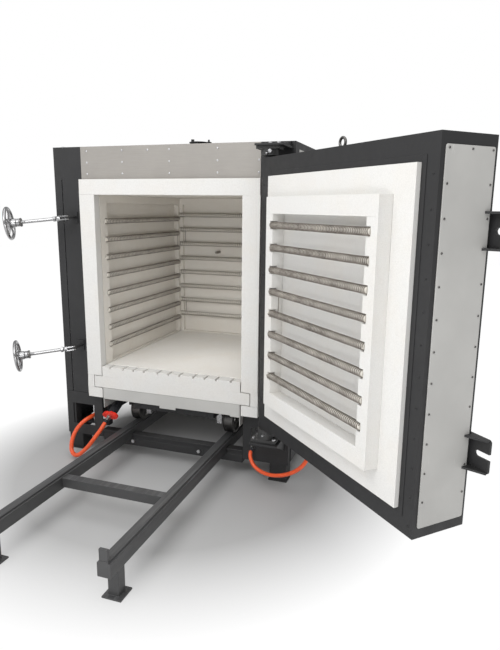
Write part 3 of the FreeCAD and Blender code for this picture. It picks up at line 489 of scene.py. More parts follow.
def firebrick(name, colour, pores=1.0, soot=0.0):
    """Insulating firebrick: each brick a slightly different tone, pores darkened with painted shade, soft
    cloudy scorch.
    """
    warm = (0.74, 0.66, 0.55)
    g = Graph(name, roughness=0.93)
    tone = g.remap(g.attribute("tint"), 0.0, 1.0)
    base = g.mix(tone, shade(colour, 0.945), shade(colour, 1.025))
    cloud = g.remap(g.noise(5.0, 5.0, 0.6), 0.45, 0.75, 0.0, 0.22)
    base = g.mix(cloud, base, warm)
    grain = g.remap(g.noise(260.0, 4.0, 0.65), 0.35, 0.65, 0.93, 1.03)
    base = g.mix(1.0, base, grain, "MULTIPLY")
    pore = g.remap(g.cells(520.0), 0.10, 0.30, 0.0, 1.0)
    patchy = g.remap(g.noise(40.0, 3.0), 0.45, 0.62)
    # painted shade: each pore is darkened where its hollow would be shaded
    pore_shade = g.times(g.maths("SUBTRACT", 1.0, pore), patchy)
    base = g.mix(g.times(pore_shade, 0.42 * pores), base, shade(colour, 0.52))
    speck = g.maths("LESS_THAN", g.cells(60.0), 0.055)
    base = g.mix(g.times(speck, 0.35), base, (0.36, 0.26, 0.17))
    if soot:
        stain = g.remap(g.noise(3.0, 5.0, 0.6), 0.35, 0.7, 0.4 * soot, soot)
        base = g.mix(stain, base, (0.42, 0.37, 0.31))
    g.colour(base)
    relief = g.maths("ADD", g.times(pore, 0.6), g.times(g.noise(190.0, 5.0, 0.7), 0.7))
    g.bump(relief, 0.0006, 0.55)
    return g.material


def bright_metal(name, colour, roughness, smear=0.10, grime=0.25):
    """Plated or turned metal with uneven polish and a little grime."""
    g = Graph(name, metallic=1.0)
    dirt = g.remap(g.noise(55.0, 5.0, 0.65), 0.52, 0.78, 0.0, grime)
    g.colour(g.mix(dirt, colour, shade(colour, 0.35)))
    g.rough(g.remap(g.noise(30.0, 4.0), 0.3, 0.7, roughness - smear, roughness + smear))
    g.bump(g.noise(700.0, 2.0, 0.5), 0.00003, 0.7)
    return g.material


def moulded(name, colour, roughness, coat=0.0, grain=0.00012):
    """Moulded plastic or rubber with fine grain, faint scuffs and dust."""
    g = Graph(name, coat=coat)
    base = g.mix(g.remap(g.noise(30.0, 4.0), 0.3, 0.7), shade(colour, 0.88), shade(colour, 1.08))
    scuff = g.remap(g.noise(120.0, 6.0, 0.75), 0.62, 0.74, 0.0, 0.25)
    g.colour(g.mix(scuff, base, tuple(0.6 * c + 0.22 for c in colour)))
    g.rough(g.remap(g.noise(60.0, 4.0), 0.3, 0.7, roughness - 0.08, roughness + 0.10))
    g.bump(g.noise(900.0, 3.0), grain, 0.8)
    return g.material


def header_sheet_steel(name):
    """Dull warm-grey sheet with a faint rolling grain along X."""
    g = Graph(name, metallic=0.25)
    cloud = g.remap(g.noise(3.0, 4.0), 0.3, 0.7)
    base = g.mix(cloud, (0.33, 0.312, 0.29), (0.37, 0.35, 0.325))
    grain = g.remap(g.noise(260.0, 4.0, 0.6, (0.03, 1.0, 1.0)), 0.3, 0.7, 0.95, 1.04)
    g.colour(g.mix(1.0, base, grain, "MULTIPLY"))
    g.rough(g.remap(g.noise(25.0, 4.0), 0.3, 0.7, 0.42, 0.56))
    g.bump(g.noise(500.0, 3.0, 0.5, (0.05, 1.0, 1.0)), 0.00004, 0.8)
    return g.material


def oxidised_wire(name):
    """Resistance wire with the dull scale that firing leaves."""
    g = Graph(name, metallic=0.35)
    scale = g.remap(g.noise(90.0, 5.0, 0.65), 0.35, 0.65)
    base = g.mix(scale, (0.10, 0.085, 0.072), (0.30, 0.27, 0.24))
    g.colour(g.mix(g.remap(g.noise(12.0, 3.0), 0.4, 0.7, 0.0, 0.4), base, (0.46, 0.42, 0.38)))
    g.rough(g.remap(g.noise(200.0, 3.0), 0.3, 0.7, 0.45, 0.68))
    g.bump(g.noise(2400.0, 2.0), 0.00005, 0.8)
    return g.material


def rail_paint_worn(name):
    """Satin grey rail paint, rubbed to metal in streaks where wheels run along Y."""
    g = Graph(name)
    colour = (0.052, 0.052, 0.053)
    base = g.mix(g.remap(g.noise(3.0, 4.0), 0.3, 0.7), shade(colour, 0.88), shade(colour, 1.15))
    streak = g.noise(60.0, 5.0, 0.65, (1.0, 0.03, 1.0))
    up = g.remap(g.facing_up(), 0.8, 0.98)
    worn = g.times(g.remap(streak, 0.47, 0.62, 0.1, 0.62), up)
    g.colour(g.mix(worn, base, (0.13, 0.13, 0.135)))
    g.rough(g.remap(g.noise(40.0, 4.0, 0.6, (1.0, 0.08, 1.0)), 0.3, 0.7, 0.34, 0.52))
    g.bump(g.noise(900.0, 2.0), 0.00006, 0.8)
    return g.material


M = {
    "anthracite_paint": powder_coat("anthracite_powder_coat", (0.018, 0.018, 0.019), 0.52, 0.04),
    "rail_paint": rail_paint_worn("rail_paint_worn"),
    "header_steel": header_sheet_steel("warm_grey_sheet"),
    "panel_paint": powder_coat("light_grey_powder_coat", (0.47, 0.465, 0.447), 0.42, 0.05, 0.00003),
    # The collar, door and hearth bricks get a darker copy of the chamber's firebrick: painted shade that
    # holds back the strong front light.
    "fire_brick": firebrick("insulating_firebrick", (0.74, 0.733, 0.713)),
    "hot_brick": firebrick("insulating_firebrick_fired", (0.84, 0.81, 0.755), soot=0.16),
    "hearth_slab": firebrick("dense_hearth_slab", (0.84, 0.82, 0.78), pores=0.4),
    "fibre_board": firebrick("ceramic_fibre_board", (0.84, 0.83, 0.80), pores=0.2),
    "element_wire": oxidised_wire("oxidised_resistance_wire"),
    "element_tube": firebrick("element_support_tube", (0.70, 0.67, 0.61), pores=0.3),
    "bright_steel": bright_metal("zinc_plated_steel", (0.62, 0.62, 0.63), 0.32),
    "chrome_plate": bright_metal("polished_plate", (0.40, 0.40, 0.405), 0.22, 0.06, grime=0.35),
    "wheel_steel": bright_metal("turned_wheel_steel", (0.17, 0.165, 0.16), 0.36, 0.10, grime=0.6),
    "bearing_iron": powder_coat("painted_casting", (0.045, 0.045, 0.045), 0.5, 0.15, 0.0004),
    "orange_cable": moulded("orange_cable_sheath", (0.84, 0.105, 0.028), 0.42, grain=0.00006),
    "gland_metal": bright_metal("nickel_plated_gland", (0.66, 0.65, 0.63), 0.24),
    "plug_plastic": moulded("dark_moulded_plastic", (0.030, 0.031, 0.035), 0.45),
    "red_latch": moulded("bright_red_moulding", (0.86, 0.040, 0.022), 0.30, coat=0.25, grain=0.00004),
    "black_rubber": moulded("black_seal_rubber", (0.022, 0.022, 0.022), 0.62),
}


# -------------------------------- camera, light, floor
CAMERA_AT = (1.46814, -2.89848, 1.54002)
CAMERA_YAW, CAMERA_PITCH, CAMERA_ROLL = -0.32786, -0.20402, 0.01031
CAMERA_LENS, CAMERA_SENSOR = 31.37, 36.0     # mm
SKY_LIGHT = 0.46
LIGHTS = {                                   # place, target, size, watts
    "key": ((-0.2, -3.8, 4.0), (0.0, 0.0, 0.8), (2.4, 2.0), 78.0),
    "side": ((-3.6, -2.6, 2.6), (-0.4, -0.1, 0.9), (1.6, 2.2), 18.0),
    "top": ((0.2, -0.8, 5.6), (0.2, -0.4, 0.0), (6.0, 6.0), 150.0),
    "low": ((0.9, -3.2, 0.8), (-0.3, 0.4, 0.7), (1.6, 0.6), 16.0),
    "chamber": ((0.20, 0.30, 1.10), (-0.20, 0.62, 0.55), (0.40, 0.30), 0.9),
    "under": ((0.0, 0.22, 0.318), (0.0, 0.30, 0.0), (0.40, 0.36), 0.30),
}
FLOOR_FADES, FLOOR_WHITE = 0.90, 1.45        # where the floor starts and ends its fade from painted shade to a white glow
FLOOR_REACH = 14.0
FLOOR_STEPS = 12
FLOOR_DROP = 0.0004


def make_camera():
    yaw, pitch, roll = CAMERA_YAW, CAMERA_PITCH, CAMERA_ROLL
    forward = Vector((math.sin(yaw) * math.cos(pitch), math.cos(yaw) * math.cos(pitch), math.sin(pitch)))
    right = Vector((math.cos(yaw), -math.sin(yaw), 0.0))
    up = right.cross(forward)
    rolled_right = right * math.cos(roll) + up * math.sin(roll)
    rolled_up = up * math.cos(roll) - right * math.sin(roll)
    data = bpy.data.cameras.new("studio_camera")
    data.sensor_width = CAMERA_SENSOR
    data.lens = CAMERA_LENS
    data.clip_end = 60.0
    camera = link(bpy.data.objects.new("studio_camera", data))
    turn = Matrix((rolled_right, rolled_up, -forward)).transposed().to_4x4()
    camera.matrix_world = Matrix.Translation(CAMERA_AT) @ turn
    bpy.context.scene.camera = camera


def area_light(name, place, target, size, power):
    data = bpy.data.lights.new(name, "AREA")
    data.shape = "RECTANGLE"
    data.size, data.size_y = size
    data.energy = power
    light = link(bpy.data.objects.new(name, data))
    light.location = place
    light.rotation_euler = (Vector(target) - Vector(place)).to_track_quat("-Z", "Y").to_euler()
    light.visible_camera = False         # only its light shows


def make_sky():
    """Soft white light all round, and a white backdrop where the camera looks past the floor."""
    world = bpy.data.worlds.new("studio")
    bpy.context.scene.world = world
    world.use_nodes = True
    tree = world.node_tree
    soft = tree.nodes["Background"]
    soft.inputs["Color"].default_value = (1.0, 1.0, 1.0, 1.0)
    soft.inputs["Strength"].default_value = SKY_LIGHT
    backdrop = tree.nodes.new("ShaderNodeBackground")
    backdrop.inputs["Color"].default_value = (1.0, 1.0, 1.0, 1.0)
    backdrop.inputs["Strength"].default_value = 1.0
    chooser = tree.nodes.new("ShaderNodeMixShader")
    seen = tree.nodes.new("ShaderNodeLightPath")
    tree.links.new(seen.outputs["Is Camera Ray"], chooser.inputs[0])
    tree.links.new(soft.outputs[0], chooser.inputs[1])
    tree.links.new(backdrop.outputs[0], chooser.inputs[2])
    tree.links.new(chooser.outputs[0], tree.nodes["World Output"].inputs["Surface"])


def floor_material():
    """Grey round the kiln, a painted shade about its foot, fading further out to a white glow that matches
    the backdrop.
    """
    grey = Graph("pale_floor", roughness=0.55)
    away = grey.new("VectorMath")
    away.operation = "LENGTH"
    grey.link(grey.where, away.inputs[0])
    glow = grey.remap(away.outputs["Value"], FLOOR_FADES, FLOOR_WHITE)
    pale = grey.mix(grey.noise(0.8, 3.0), (0.46, 0.46, 0.46), (0.50, 0.50, 0.50))
    # painted shade: a darker grey floor near the kiln, giving way further out to an even white glow
    grey.colour(grey.mix(glow, pale, (0.0, 0.0, 0.0)))
    grey.link(glow, grey.shader.inputs["Emission Strength"])
    grey.shader.inputs["Emission Color"].default_value = (1.0, 1.0, 1.0, 1.0)
    grey.shader.inputs["Specular IOR Level"].default_value = 0.1
    grey.bump(grey.noise(60.0, 4.0), 0.0003, 0.3)
    return grey.material


def make_floor():
    grid = [FLOOR_REACH * (2 * k / FLOOR_STEPS - 1) for k in range(FLOOR_STEPS + 1)]
    row = len(grid)
    shape = Shape()
    shape.add([(x, y, -FLOOR_DROP) for y in grid for x in grid],
              [(r * row + c, r * row + c + 1, (r + 1) * row + c + 1, (r + 1) * row + c)
               for r in range(FLOOR_STEPS) for c in range(FLOOR_STEPS)])
    floor = link(bpy.data.objects.new("studio_floor", make_mesh("studio_floor", shape)))
    floor.data.materials.append(floor_material())


def make_studio():
    bpy.context.scene.view_settings.view_transform = "Standard"
    make_sky()
    for name, values in LIGHTS.items():
        area_light(name, *values)
    make_floor()


# -------------------------------- cables
def spline_points(route):
    """Points along the smooth line that a route's NURBS spline draws."""
    curve = bpy.data.curves.new("route", "CURVE")
    curve.dimensions = "3D"
    curve.resolution_u = 10
    add_spline(curve, route)
    holder = bpy.data.objects.new("route", curve)
    line = bpy.data.meshes.new_from_object(holder)
    points = [v.co.copy() for v in line.vertices]
    bpy.data.meshes.remove(line)
    bpy.data.objects.remove(holder)
    bpy.data.curves.remove(curve)
    return points


def add_spline(curve, route):
    spline = curve.splines.new("NURBS")
    spline.points.add(len(route) - 1)
    for point, place in zip(spline.points, route):
        point.co = (*place, 1.0)
    spline.order_u = 3
    spline.use_endpoint_u = True


def cable_curve(name, route, radius, replaces):
    curve = bpy.data.curves.new(name, "CURVE")
    curve.dimensions = "3D"
    curve.resolution_u = 12
    curve.bevel_depth = radius
    curve.bevel_resolution = 6
    curve.use_fill_caps = True
    add_spline(curve, route)
    curve.materials.append(M["orange_cable"])
    thing = link(bpy.data.objects.new(name, curve))
    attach(thing, "kiln")
    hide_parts(replaces)
    return thing


def strain_relief(name, start, direction, radius, length):
    """A tapered, ribbed sleeve where a cable leaves its gland."""
    profile = [(0.0, radius * 1.42)]
    ribs = 6
    for k in range(ribs):
        low = length * k / ribs
        fat = radius * (1.40 - 0.30 * k / ribs)
        profile += [(low + length * 0.03, fat), (low + length * 0.10, fat),
                    (low + length * 0.12, fat - 0.0012), (low + length / ribs, fat - 0.0014)]
    profile += [(length, radius * 1.02), (length, radius * 0.9), (0.0, radius * 0.9), (0.0, radius * 1.42)]
    shape = Shape()
    shape.lathe(start, direction, profile, 28)
    return piece(name, shape, "plug_plastic", "kiln", crease=28)


def make_bogie_cable():
    """The cable that feeds the bogie, with its plug; it drops nearly to the floor and folds back up."""
    cable = cable_curve("bogie_supply_cable", BOGIE_CABLE, BOGIE_CABLE_R, "bogie_cable")
    sleeve = strain_relief("bogie_cable_relief", PLUG_START, -PLUG_AXIS, BOGIE_CABLE_R, 0.018)
    shape = Shape()
    shape.lathe(PLUG_START, PLUG_AXIS, [(0, 0.0126), (0.001, 0.0138), (0.0265, 0.0138),
                                        (0.0275, 0.0130), (0.0283, 0.0130)])
    shape.hexagon(PLUG_START + PLUG_AXIS * 0.0282, PLUG_AXIS, 0.0295, 0.0166, 0.0012)
    gland = piece("plug_cable_gland", shape, "gland_metal", "kiln", ["plug_gland"], 0.0004)

    neck, shoulder, end = 0.0453, 0.0606, 0.1196     # along the plug's axis
    groove_r = PLUG_R - 0.0012
    profile = [(neck, 0.0), (neck, 0.0138), (shoulder, 0.0138), (shoulder, 0.0250), (0.0620, 0.0266)]
    for k in range(7):
        low = 0.070 + 0.0052 * k
        profile += [(low, PLUG_R), (low + 0.0007, groove_r), (low + 0.0028, groove_r), (low + 0.0035, PLUG_R)]
    profile += [(0.112, PLUG_R), (0.1180, 0.0266), (end, 0.0252), (end, 0.0)]
    shape = Shape()
    shape.lathe(PLUG_START, PLUG_AXIS, profile, 40)
    housing = piece("plug_housing", shape, "plug_plastic", "kiln", ["plug_body"], crease=28)


def make_door_cable():
    """The cable from the casing to the foot of the door."""
    points = spline_points(DOOR_CABLE)
    shape = Shape()
    shape.tube(points, DOOR_CABLE_R, 20)
    mesh = make_mesh("door_supply_cable", shape)
    fix_normals(mesh)
    smooth_below(mesh, 50)
    mesh.materials.append(M["orange_cable"])
    cable = link(bpy.data.objects.new("door_supply_cable", mesh))
    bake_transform(cable)
    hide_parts("door_cable")
    out = (Vector(DOOR_CABLE[1]) - Vector(DOOR_CABLE[0])).normalized()
    sleeve = strain_relief("door_cable_relief", DOOR_CABLE[0], out, DOOR_CABLE_R, 0.024)
    shape = Shape()
    shape.lathe(Vector(DOOR_CABLE[-1]) + Vector((0, 0, 0.0002)), (0, 0, 1),
                [(0, 0.0120), (0.0008, 0.0135), (0.010, 0.0148), (0.0245, 0.0148)])
    gland = piece("door_gland_under_door", shape, "gland_metal", "door", ["door_cable_gland"])


def make_panel_glands():
    """Both cables' glands in the base's front plates, and the bracket that holds the left one."""
    start = Vector(BOGIE_CABLE[0])
    shape = Shape()
    shape.lathe(start, (0, 1, 0), [(0, 0.0128), (0, 0.0175), (0.002, 0.0195), (0.012, 0.0195),
                                   (0.0125, 0.017), (0.016, 0.017), (0.016, 0.0128), (0, 0.0128)])
    shape.hexagon(start + Vector((0, 0.016, 0)), (0, 1, 0), 0.034, 0.016)
    shape.lathe(DOOR_CABLE[0], (-0.045, 0.974, 0.22), [(0, 0.0120), (0.001, 0.0145), (0.021, 0.0148)], 28)
    piece("panel_cable_glands", shape, "gland_metal", "kiln", bevel=0.0004)
    plate = Shape()
    for verts, faces in cad_islands("cable_glands"):
        if max(v.y for v in verts) > 0.1:
            plate.add(verts, faces)
    piece("gland_bracket", plate, "bright_steel", "kiln", ["cable_glands"], 0.0006)


# -------------------------------- heating elements
def add_coil(shape, start, end, phase, pitch, sides=5, steps=12):
    """A wire spiral between two points, its pitch a little uneven."""
    start, end = Vector(start), Vector(end)
    axis = (end - start).normalized()
    a, b = across(axis)
    length = (end - start).length - 2 * COIL_WIRE
    turns = round(length / pitch)
    t = np.linspace(0.0, 1.0, turns * steps + 1)
    circle = 2 * math.pi
    uneven = 0.0022 * np.sin(circle * (2.3 * t + phase)) + 0.0013 * np.sin(circle * (7.1 * t + 2 * phase))
    along = COIL_WIRE + length * t + uneven * np.minimum(1.0, np.minimum(t, 1 - t) * 12)
    angle = circle * (turns * t + phase)
    wobble = 1.0 + 0.014 * np.sin(circle * (5.3 * t + 3 * phase))
    points = (np.array(start)[None, :] + along[:, None] * np.array(axis)[None, :]
              + (COIL_R * wobble * np.cos(angle))[:, None] * np.array(a)[None, :]
              + (COIL_R * wobble * np.sin(angle))[:, None] * np.array(b)[None, :])
    shape.tube(points, COIL_WIRE, sides)


def coil_piece(name, lines, body, node, pitch, matrix=None):
    shape = Shape()
    for k, (start, end) in enumerate(lines):
        add_coil(shape, start, end, (k * 0.37) % 1.0, pitch)
    if matrix:
        shape.moved(matrix)
    return piece(name, shape, "element_wire", body, [node], crease=80)


def centre_lines(node, matrix=None):
    """The centre line of each round bar in a CAD node, drawn in the matrix's own frame."""
    lines = []
    back = into_frame(matrix)
    for verts, _ in cad_islands(node):
        lo, hi = solid_box([back @ v for v in verts])
        axis = max(range(3), key=lambda k: hi[k] - lo[k])
        start, end = (lo + hi) / 2, (lo + hi) / 2
        start[axis], end[axis] = lo[axis], hi[axis]
        lines.append((start, end))
    return lines


def wire_link(shape, x, y, heights, row, bow):
    """A short stiff wire from one element, counted from the top, to the next one down."""
    top, pitch = heights
    start = Vector((x, y, top - row * pitch - ELEMENT_TURN))
    end = Vector((x, y, top - (row + 1) * pitch + ELEMENT_TURN))
    bow = Vector(bow)
    points = [start, start + bow * 0.8, start.lerp(end, 0.15) + bow, start.lerp(end, 0.5) + bow,
              start.lerp(end, 0.85) + bow, end + bow * 0.8, end]
    shape.tube(points, LINK_WIRE, 8)


def make_elements():
    coil_piece("wall_heating_coils", centre_lines("wall_elements"), "kiln", "wall_elements", WALL_COIL_PITCH)
    coil_piece("door_heating_coils", centre_lines("door_elements", DOOR), "door", "door_elements",
               COIL_PITCH, DOOR)
    refine("wall_element_tubes", "element_tube", "kiln", 0.0)
    refine("door_element_tubes", "element_tube", "door", 0.0)
    refine("hearth_elements", "element_wire", "bogie", 0.0)

    side_wall, back_wall, door_recess = (-0.4373, 0.985), (-0.396, 1.0493), (0.318, -0.0165)
    links = Shape()
    wire_link(links, *side_wall, WALL_ELEMENTS, 1, (0.004, 0.0, 0.0))
    for row in (1, 6):
        wire_link(links, *back_wall, BACK_ELEMENTS, row, (0.0, -0.004, 0.0))
    piece("wall_element_links", links, "element_wire", "kiln", crease=60)
    links = Shape()
    wire_link(links, *door_recess, DOOR_ELEMENTS, 3, (0.0, -0.003, 0.0))
    piece("door_element_links", links.moved(DOOR), "element_wire", "door", crease=60)


# -------------------------------- swing bolts and handwheels
def fork_prong(shape, low, high):
    """One flat cheek of the fork, rounded about the pin."""
    outline = [(0.040, -0.0155, low), (0.040, 0.0155, low)]
    for k in range(13):
        t = math.radians(90 + 15 * k)
        outline.append((0.0158 * math.cos(t), 0.0158 * math.sin(t), low))
    shape.prism(outline, (0, 0, high - low))


def bolt_shape():
    """A forked swing bolt along +X: fork, collar, nut and a shank with a rolled thread."""
    bolt = Shape()
    fork_prong(bolt, -FORK_OUTER, -FORK_INNER)
    fork_prong(bolt, FORK_INNER, FORK_OUTER)
    bolt.lathe((0.032, 0, 0), (1, 0, 0), [(0, 0.0120), (0.002, 0.0152), (0.016, 0.0156), (0.022, 0.0140),
                                          (0.027, BOLT_SHANK_R), (0.028, BOLT_SHANK_R)], 28)
    bolt.hexagon((0.060, 0, 0), (1, 0, 0), 0.0295, 0.0135, 0.0012)
    pitch, thread_end, crest = 0.0024, 0.260, 0.0097
    deeper_from = 0.150
    thread = [(0.0, 0.0086), (0.001, 0.0092)]
    distance = 0.001
    while distance < thread_end:
        root = 0.0093 if distance > deeper_from else 0.0096
        thread += [(distance + 0.0008, crest), (distance + 0.0012, crest), (distance + 0.0020, root)]
        distance += pitch
    thread += [(0.2624, 0.0080), (0.2624, 0.0)]
    bolt.lathe((0.0735, 0, 0), (1, 0, 0), thread, 20)
    return bolt


def washer_shape():
    """The ring that bears on the door's bracket."""
    ring = Shape()
    ring.lathe((HANDWHEEL_AT - 0.070, 0, 0), (1, 0, 0),
               [(0, BOLT_SHANK_R), (0, 0.0235), (0.0015, 0.0248), (0.0070, 0.0248), (0.0085, 0.0235),
                (0.0088, BOLT_SHANK_R), (0, BOLT_SHANK_R)], 40)
    return ring


def handwheel_shape():
    """A cast wheel: a long grooved hub, a round rim and five waisted spokes."""
    wheel = Shape()
    hub = [(-0.0604, BOLT_SHANK_R), (-0.0604, 0.0205)]
    for k in range(4):
        low = -0.058 + 0.0036 * k
        hub += [(low, 0.0225), (low + 0.0018, 0.0225), (low + 0.0024, 0.0213), (low + 0.0032, 0.0213)]
    hub += [(-0.0420, 0.0225), (-0.0405, 0.0200), (-0.0385, 0.0240), (-0.0080, 0.0268), (0.0060, 0.0266),
            (0.0090, 0.0240), (0.0115, 0.0200), (0.0115, BOLT_SHANK_R), (-0.0604, BOLT_SHANK_R)]
    wheel.lathe((HANDWHEEL_AT, 0, 0), (1, 0, 0), hub, 48)
    rim = [(HANDWHEEL_AT, HANDWHEEL_R * math.cos(t), HANDWHEEL_R * math.sin(t))
           for t in (2 * math.pi * k / 72 for k in range(72))]
    wheel.tube(rim, 0.0094, 18, closed=True)
    for k in range(5):
        t = math.radians(90 + 72 * k)
        points, radii = [], []
        for step in range(9):
            s = step / 8
            r = 0.020 + (HANDWHEEL_R - 0.022) * s
            x = HANDWHEEL_AT - 0.004 * math.sin(math.pi * s)
            points.append((x, r * math.cos(t), r * math.sin(t)))
            radii.append(0.0072 - 0.0022 * math.sin(math.pi * s * 0.75))
        wheel.tube(points, radii, 12)
    return wheel


def make_swing_bolts():
    for name in BOLT_HEIGHTS:
        place = bolt_matrix(name)
        piece("swing_bolt_" + name + "_shaft", bolt_shape().moved(place), "chrome_plate",
              "bolt_" + name, ["swing_bolt_" + name], 0.0006, crease=40)
        piece("thrust_washer_" + name + "_ring", washer_shape().moved(place), "wheel_steel",
              "washer_" + name, ["thrust_washer_" + name])
        piece("handwheel_" + name + "_cast", handwheel_shape().moved(place), "chrome_plate",
              "wheel_" + name, ["handwheel_" + name], crease=45)
    refine("bolt_lugs", "anthracite_paint", "kiln", 0.0012, "bolt_lugs_and_pins")


# -------------------------------- fasteners
def dome_head(shape, start, axis, radius, high):
    """A button-head screw with a round recess."""
    outline = ((0, 1), (0.25, 1), (0.62, 0.88), (0.88, 0.66), (1, 0.46), (0.35, 0.40), (0.35, 0))
    shape.lathe(start, axis, [(high * up, radius * out) for up, out in outline], 18)


def screw_heads(name, node, body, matrix=None, widest=0.03):
    """
    Button heads in the places of a CAD node's plain studs; larger pieces of the node stay as they are.
    On the door, those in its dark inner face are a piece of their own, painted like it.
    """
    highest = 0.0085
    shape, dark = Shape(), Shape()
    back = into_frame(matrix)
    for verts, faces in cad_islands(node):
        local = [back @ v for v in verts]
        lo, hi = solid_box(local)
        size = hi - lo
        if max(size) > widest or min(size) > highest:
            shape.add(local, faces)
            continue
        k = min(range(3), key=lambda i: size[i])
        outward = -1.0 if (k == 1 and hi.y < 0.001 and not matrix) or (lo[k] < 0 and k == 0) else 1.0
        axis = Vector([outward if i == k else 0.0 for i in range(3)])
        start = (lo + hi) / 2
        start[k] = lo[k] if outward > 0 else hi[k]
        painted = matrix and k == 1 and lo.y > DOOR_OUT + 0.02
        dome_head(dark if painted else shape, start, axis, max(size) / 2 * (0.82 if matrix else 1.0), size[k])
    if matrix:
        shape.moved(matrix)
        piece(name + "_painted", dark.moved(matrix), "anthracite_paint", body, crease=30)
    metal = "wheel_steel" if matrix else "bright_steel"
    return piece(name, shape, metal, body, [node], crease=30)


# -------------------------------- door
def make_door():
    brickwork("door_pad", "fire_brick", "door", 0.250, 0.230, DOOR)
    refine("door_plug", "fire_brick", "door", 0.0022, "door_plug_bricks")
    refine("door_shell", "anthracite_paint", "door", 0.0012, "door_steel_case")
    refine("door_edge_panel", "panel_paint", "door", 0.0010, "door_side_panel")
    refine("door_hinge_arms", "anthracite_paint", "door", 0.0015, "door_hinge_plates")
    refine("latch_brackets", "anthracite_paint", "door", 0.0012, "bolt_brackets")
    refine("door_insulation", "fibre_board", "door", 0.0, "door_fibre_board")
    screw_heads("door_screws_and_eye", "door_fasteners", "door", DOOR, 0.02)

    trim = Shape()                       # a flat strip round the brick pad
    inner_x, low, high = 0.5085, 0.4855, 1.6895
    wide, proud = 0.022, 0.0022
    y = (DOOR_IN, DOOR_IN + proud)
    for side in (-1, 1):
        x = sorted((side * inner_x, side * (inner_x + wide)))
        trim.box((x[0], y[0], low - wide), (x[1], y[1], high + wide))
    trim.box((-inner_x, y[0], high), (inner_x, y[1], high + wide))
    trim.box((-inner_x, y[0], low - wide), (inner_x, y[1], low))
    piece("door_brick_retainer", trim.moved(DOOR), "anthracite_paint", "door", bevel=0.0008)


# -------------------------------- casing, base and refractory
def make_casing():
    for node, bevel in (("base_front_plates", 0.0012), ("front_posts", 0.0012), ("casing_panels", 0.0010),
                        ("hinge_brackets", 0.0012), ("feet", 0.0015), ("roof_vent", 0.0008),
                        ("vent_damper", 0.0008), ("terminal_box", 0.0008), ("terminal_box_cover", 0.0006),
                        ("base_frame", 0.0025)):
        body = "damper" if node == "vent_damper" else "kiln"
        refine(node, "anthracite_paint", body, bevel)
    sides = Shape()
    front, rear, top = 0.070, 1.310, 1.838
    gap, thick = 0.0001, 0.0012          # from the casing to each panel's two faces
    sides.box((CASING_RIGHT + gap, front, CASING_SILL), (CASING_RIGHT + thick, rear, top))
    sides.box((CASING_LEFT - thick, front, CASING_SILL), (CASING_LEFT - gap, rear, top))
    piece("casing_side_panels", sides, "panel_paint", "kiln", bevel=0.0004)
    refine("header_sheet", "header_steel", "kiln", 0.0008)
    refine("hinge_bearings", "bearing_iron", "kiln", 0.0030)
    caps = Shape()
    caps.lathe((0.630, -0.1595, 1.812), (0, -1, 0),
               [(0, 0.0110), (0.004, 0.0110), (0.0062, 0.0085), (0.0066, 0.0)], 28)
    for height in (1.800, 0.343):
        caps.lathe((HINGE.x, -0.1610, height), (0, -1, 0),
                   [(0, 0.0062), (0.010, 0.0060), (0.012, 0.0048), (0.019, 0.0046), (0.0205, 0.0030),
                    (0.0206, 0.0)], 20)
    piece("bearing_caps_and_nipples", caps, "bright_steel", "kiln", crease=35)
    screw_heads("casing_screws", "casing_fasteners", "kiln")
    # The thermocouple's sheath takes the dark wire finish: partly its own scale, partly painted shade
    # standing for the dark hole it sits in.
    refine("thermocouple", "element_wire", "kiln", 0.0008)
    refine("element_terminals", "bright_steel", "kiln", 0.0006)
    for node in ("rail_left", "rail_right", "rail_ties_and_stops"):
        refine(node, "rail_paint", "kiln", 0.0022)


def make_refractory():
    refine("brick_collar", "fire_brick", "kiln", 0.0020)
    for node in ("left_wall_bricks", "right_wall_bricks", "back_wall_bricks"):
        brickwork(node, "hot_brick", "kiln")
    brickwork("roof_bricks", "hot_brick", "kiln", height=0.120)
    refine("backing_boards", "fibre_board", "kiln", 0.0)


# -------------------------------- bogie
def wheel_profile():
    """Section of a double-flanged wheel, the same from either face."""
    tread, groove = 0.0747, 0.0741
    half = [(-0.0385, 0.0), (-0.0385, 0.010), (-0.0360, 0.0165), (-0.0310, 0.0235), (-0.0300, 0.0262),
            (-0.0240, 0.0280), (-0.0215, 0.0340), (-0.0215, 0.0560), (-0.0285, 0.0640), (-0.0308, 0.0690),
            (-0.0308, 0.0790), (-0.0290, 0.0809), (-0.0262, 0.0809), (-0.0245, 0.0780), (-0.0238, tread)]
    grooves = []
    for k in range(-2, 3):
        middle = 0.008 * k
        grooves += [(middle - 0.0012, tread), (middle - 0.0006, groove),
                    (middle + 0.0006, groove), (middle + 0.0012, tread)]
    return half + grooves + [(-d, r) for d, r in reversed(half)]


def make_wheels():
    inner_hub, outer_hub, tip = 0.276, 0.350, 0.3558     # along the axle, from its middle
    for name, y in AXLES_Y.items():
        shape = Shape()
        for side in (-1, 1):
            shape.lathe((side * RAIL_X, y, AXLE_Z), (side, 0, 0), wheel_profile(), 56)
        shape.rod((-inner_hub, y, AXLE_Z), (inner_hub, y, AXLE_Z), AXLE_R, 28)
        for side in (-1, 1):
            shape.rod((side * outer_hub, y, AXLE_Z), (side * tip, y, AXLE_Z), 0.0148, 28, 0.002)
            shape.hexagon((side * (outer_hub + 0.0008), y, AXLE_Z), (side, 0, 0), 0.024, 0.0048)
        piece("wheel_pair_" + name, shape, "wheel_steel", name + "_wheels", ["wheelset_" + name], crease=30)


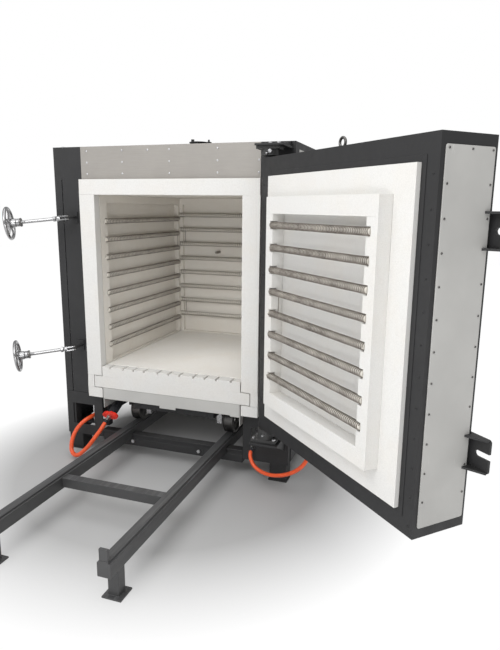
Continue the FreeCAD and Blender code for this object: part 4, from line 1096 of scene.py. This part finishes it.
def make_bogie():
    refine("bogie_tray", "panel_paint", "bogie", 0.0008)
    refine("bogie_apron", "panel_paint", "bogie", 0.0010)
    refine("hearth_bricks", "fire_brick", "bogie", 0.0016)
    refine("hearth_slabs", "hearth_slab", "bogie", 0.0008)
    refine("bogie_chassis", "anthracite_paint", "bogie", 0.0020)
    refine("axle_bearings", "bright_steel", "bogie", 0.0015)
    make_wheels()


# -------------------------------- plug and socket
def make_plug_fittings():
    """The red locking wing, a flat oval with two thumb rests and ribbed ends, and the socket."""
    wing = Shape()
    middle = PLUG_START + PLUG_AXIS * WING_AT
    a = Vector((1, 0, 0))
    b = a.cross(PLUG_AXIS)
    thumb_high, thumb_at, thumb_wide = 0.0070, 0.012, 0.006
    outline = []
    for k in range(72):
        t = 2 * math.pi * k / 72
        wide = math.copysign(0.0275 * abs(math.cos(t)) ** 0.35, math.cos(t)) + 0.0245 * math.cos(t)
        high = 0.0262 * math.sin(t)
        if math.sin(t) > 0.5:
            high += thumb_high * math.exp(-((wide - thumb_at) / thumb_wide) ** 2)
        elif math.sin(t) < -0.5:
            high -= thumb_high * math.exp(-((wide + thumb_at) / thumb_wide) ** 2)
        outline.append(tuple(middle + a * wide + b * high))
    wing.prism(outline, PLUG_AXIS * WING_DEEP)
    wing.lathe(middle - PLUG_AXIS * 0.0006, PLUG_AXIS,
               [(0, 0.0165), (0.0002, 0.0205), (0.002, 0.0210), (0.002, 0.0165)], 36)
    for side in (-1, 1):
        for k in range(4):
            rib = middle - PLUG_AXIS * 0.0003 + a * side * (0.028 + 0.0050 * k)
            reach = 0.0165 - 0.0022 * k
            wing.rod(rib - b * reach, rib + b * reach, 0.0011, 8)
    piece("plug_locking_wing", wing, "red_latch", "plug_wing", ["plug_latch"], 0.0022, segments=3)
    refine("plug_socket", "plug_plastic", "kiln", 0.0015)


make_camera()
make_studio()
make_bogie_cable()
make_door_cable()
make_panel_glands()
make_elements()
make_swing_bolts()
make_door()
make_casing()
make_refractory()
make_bogie()
make_plug_fittings()
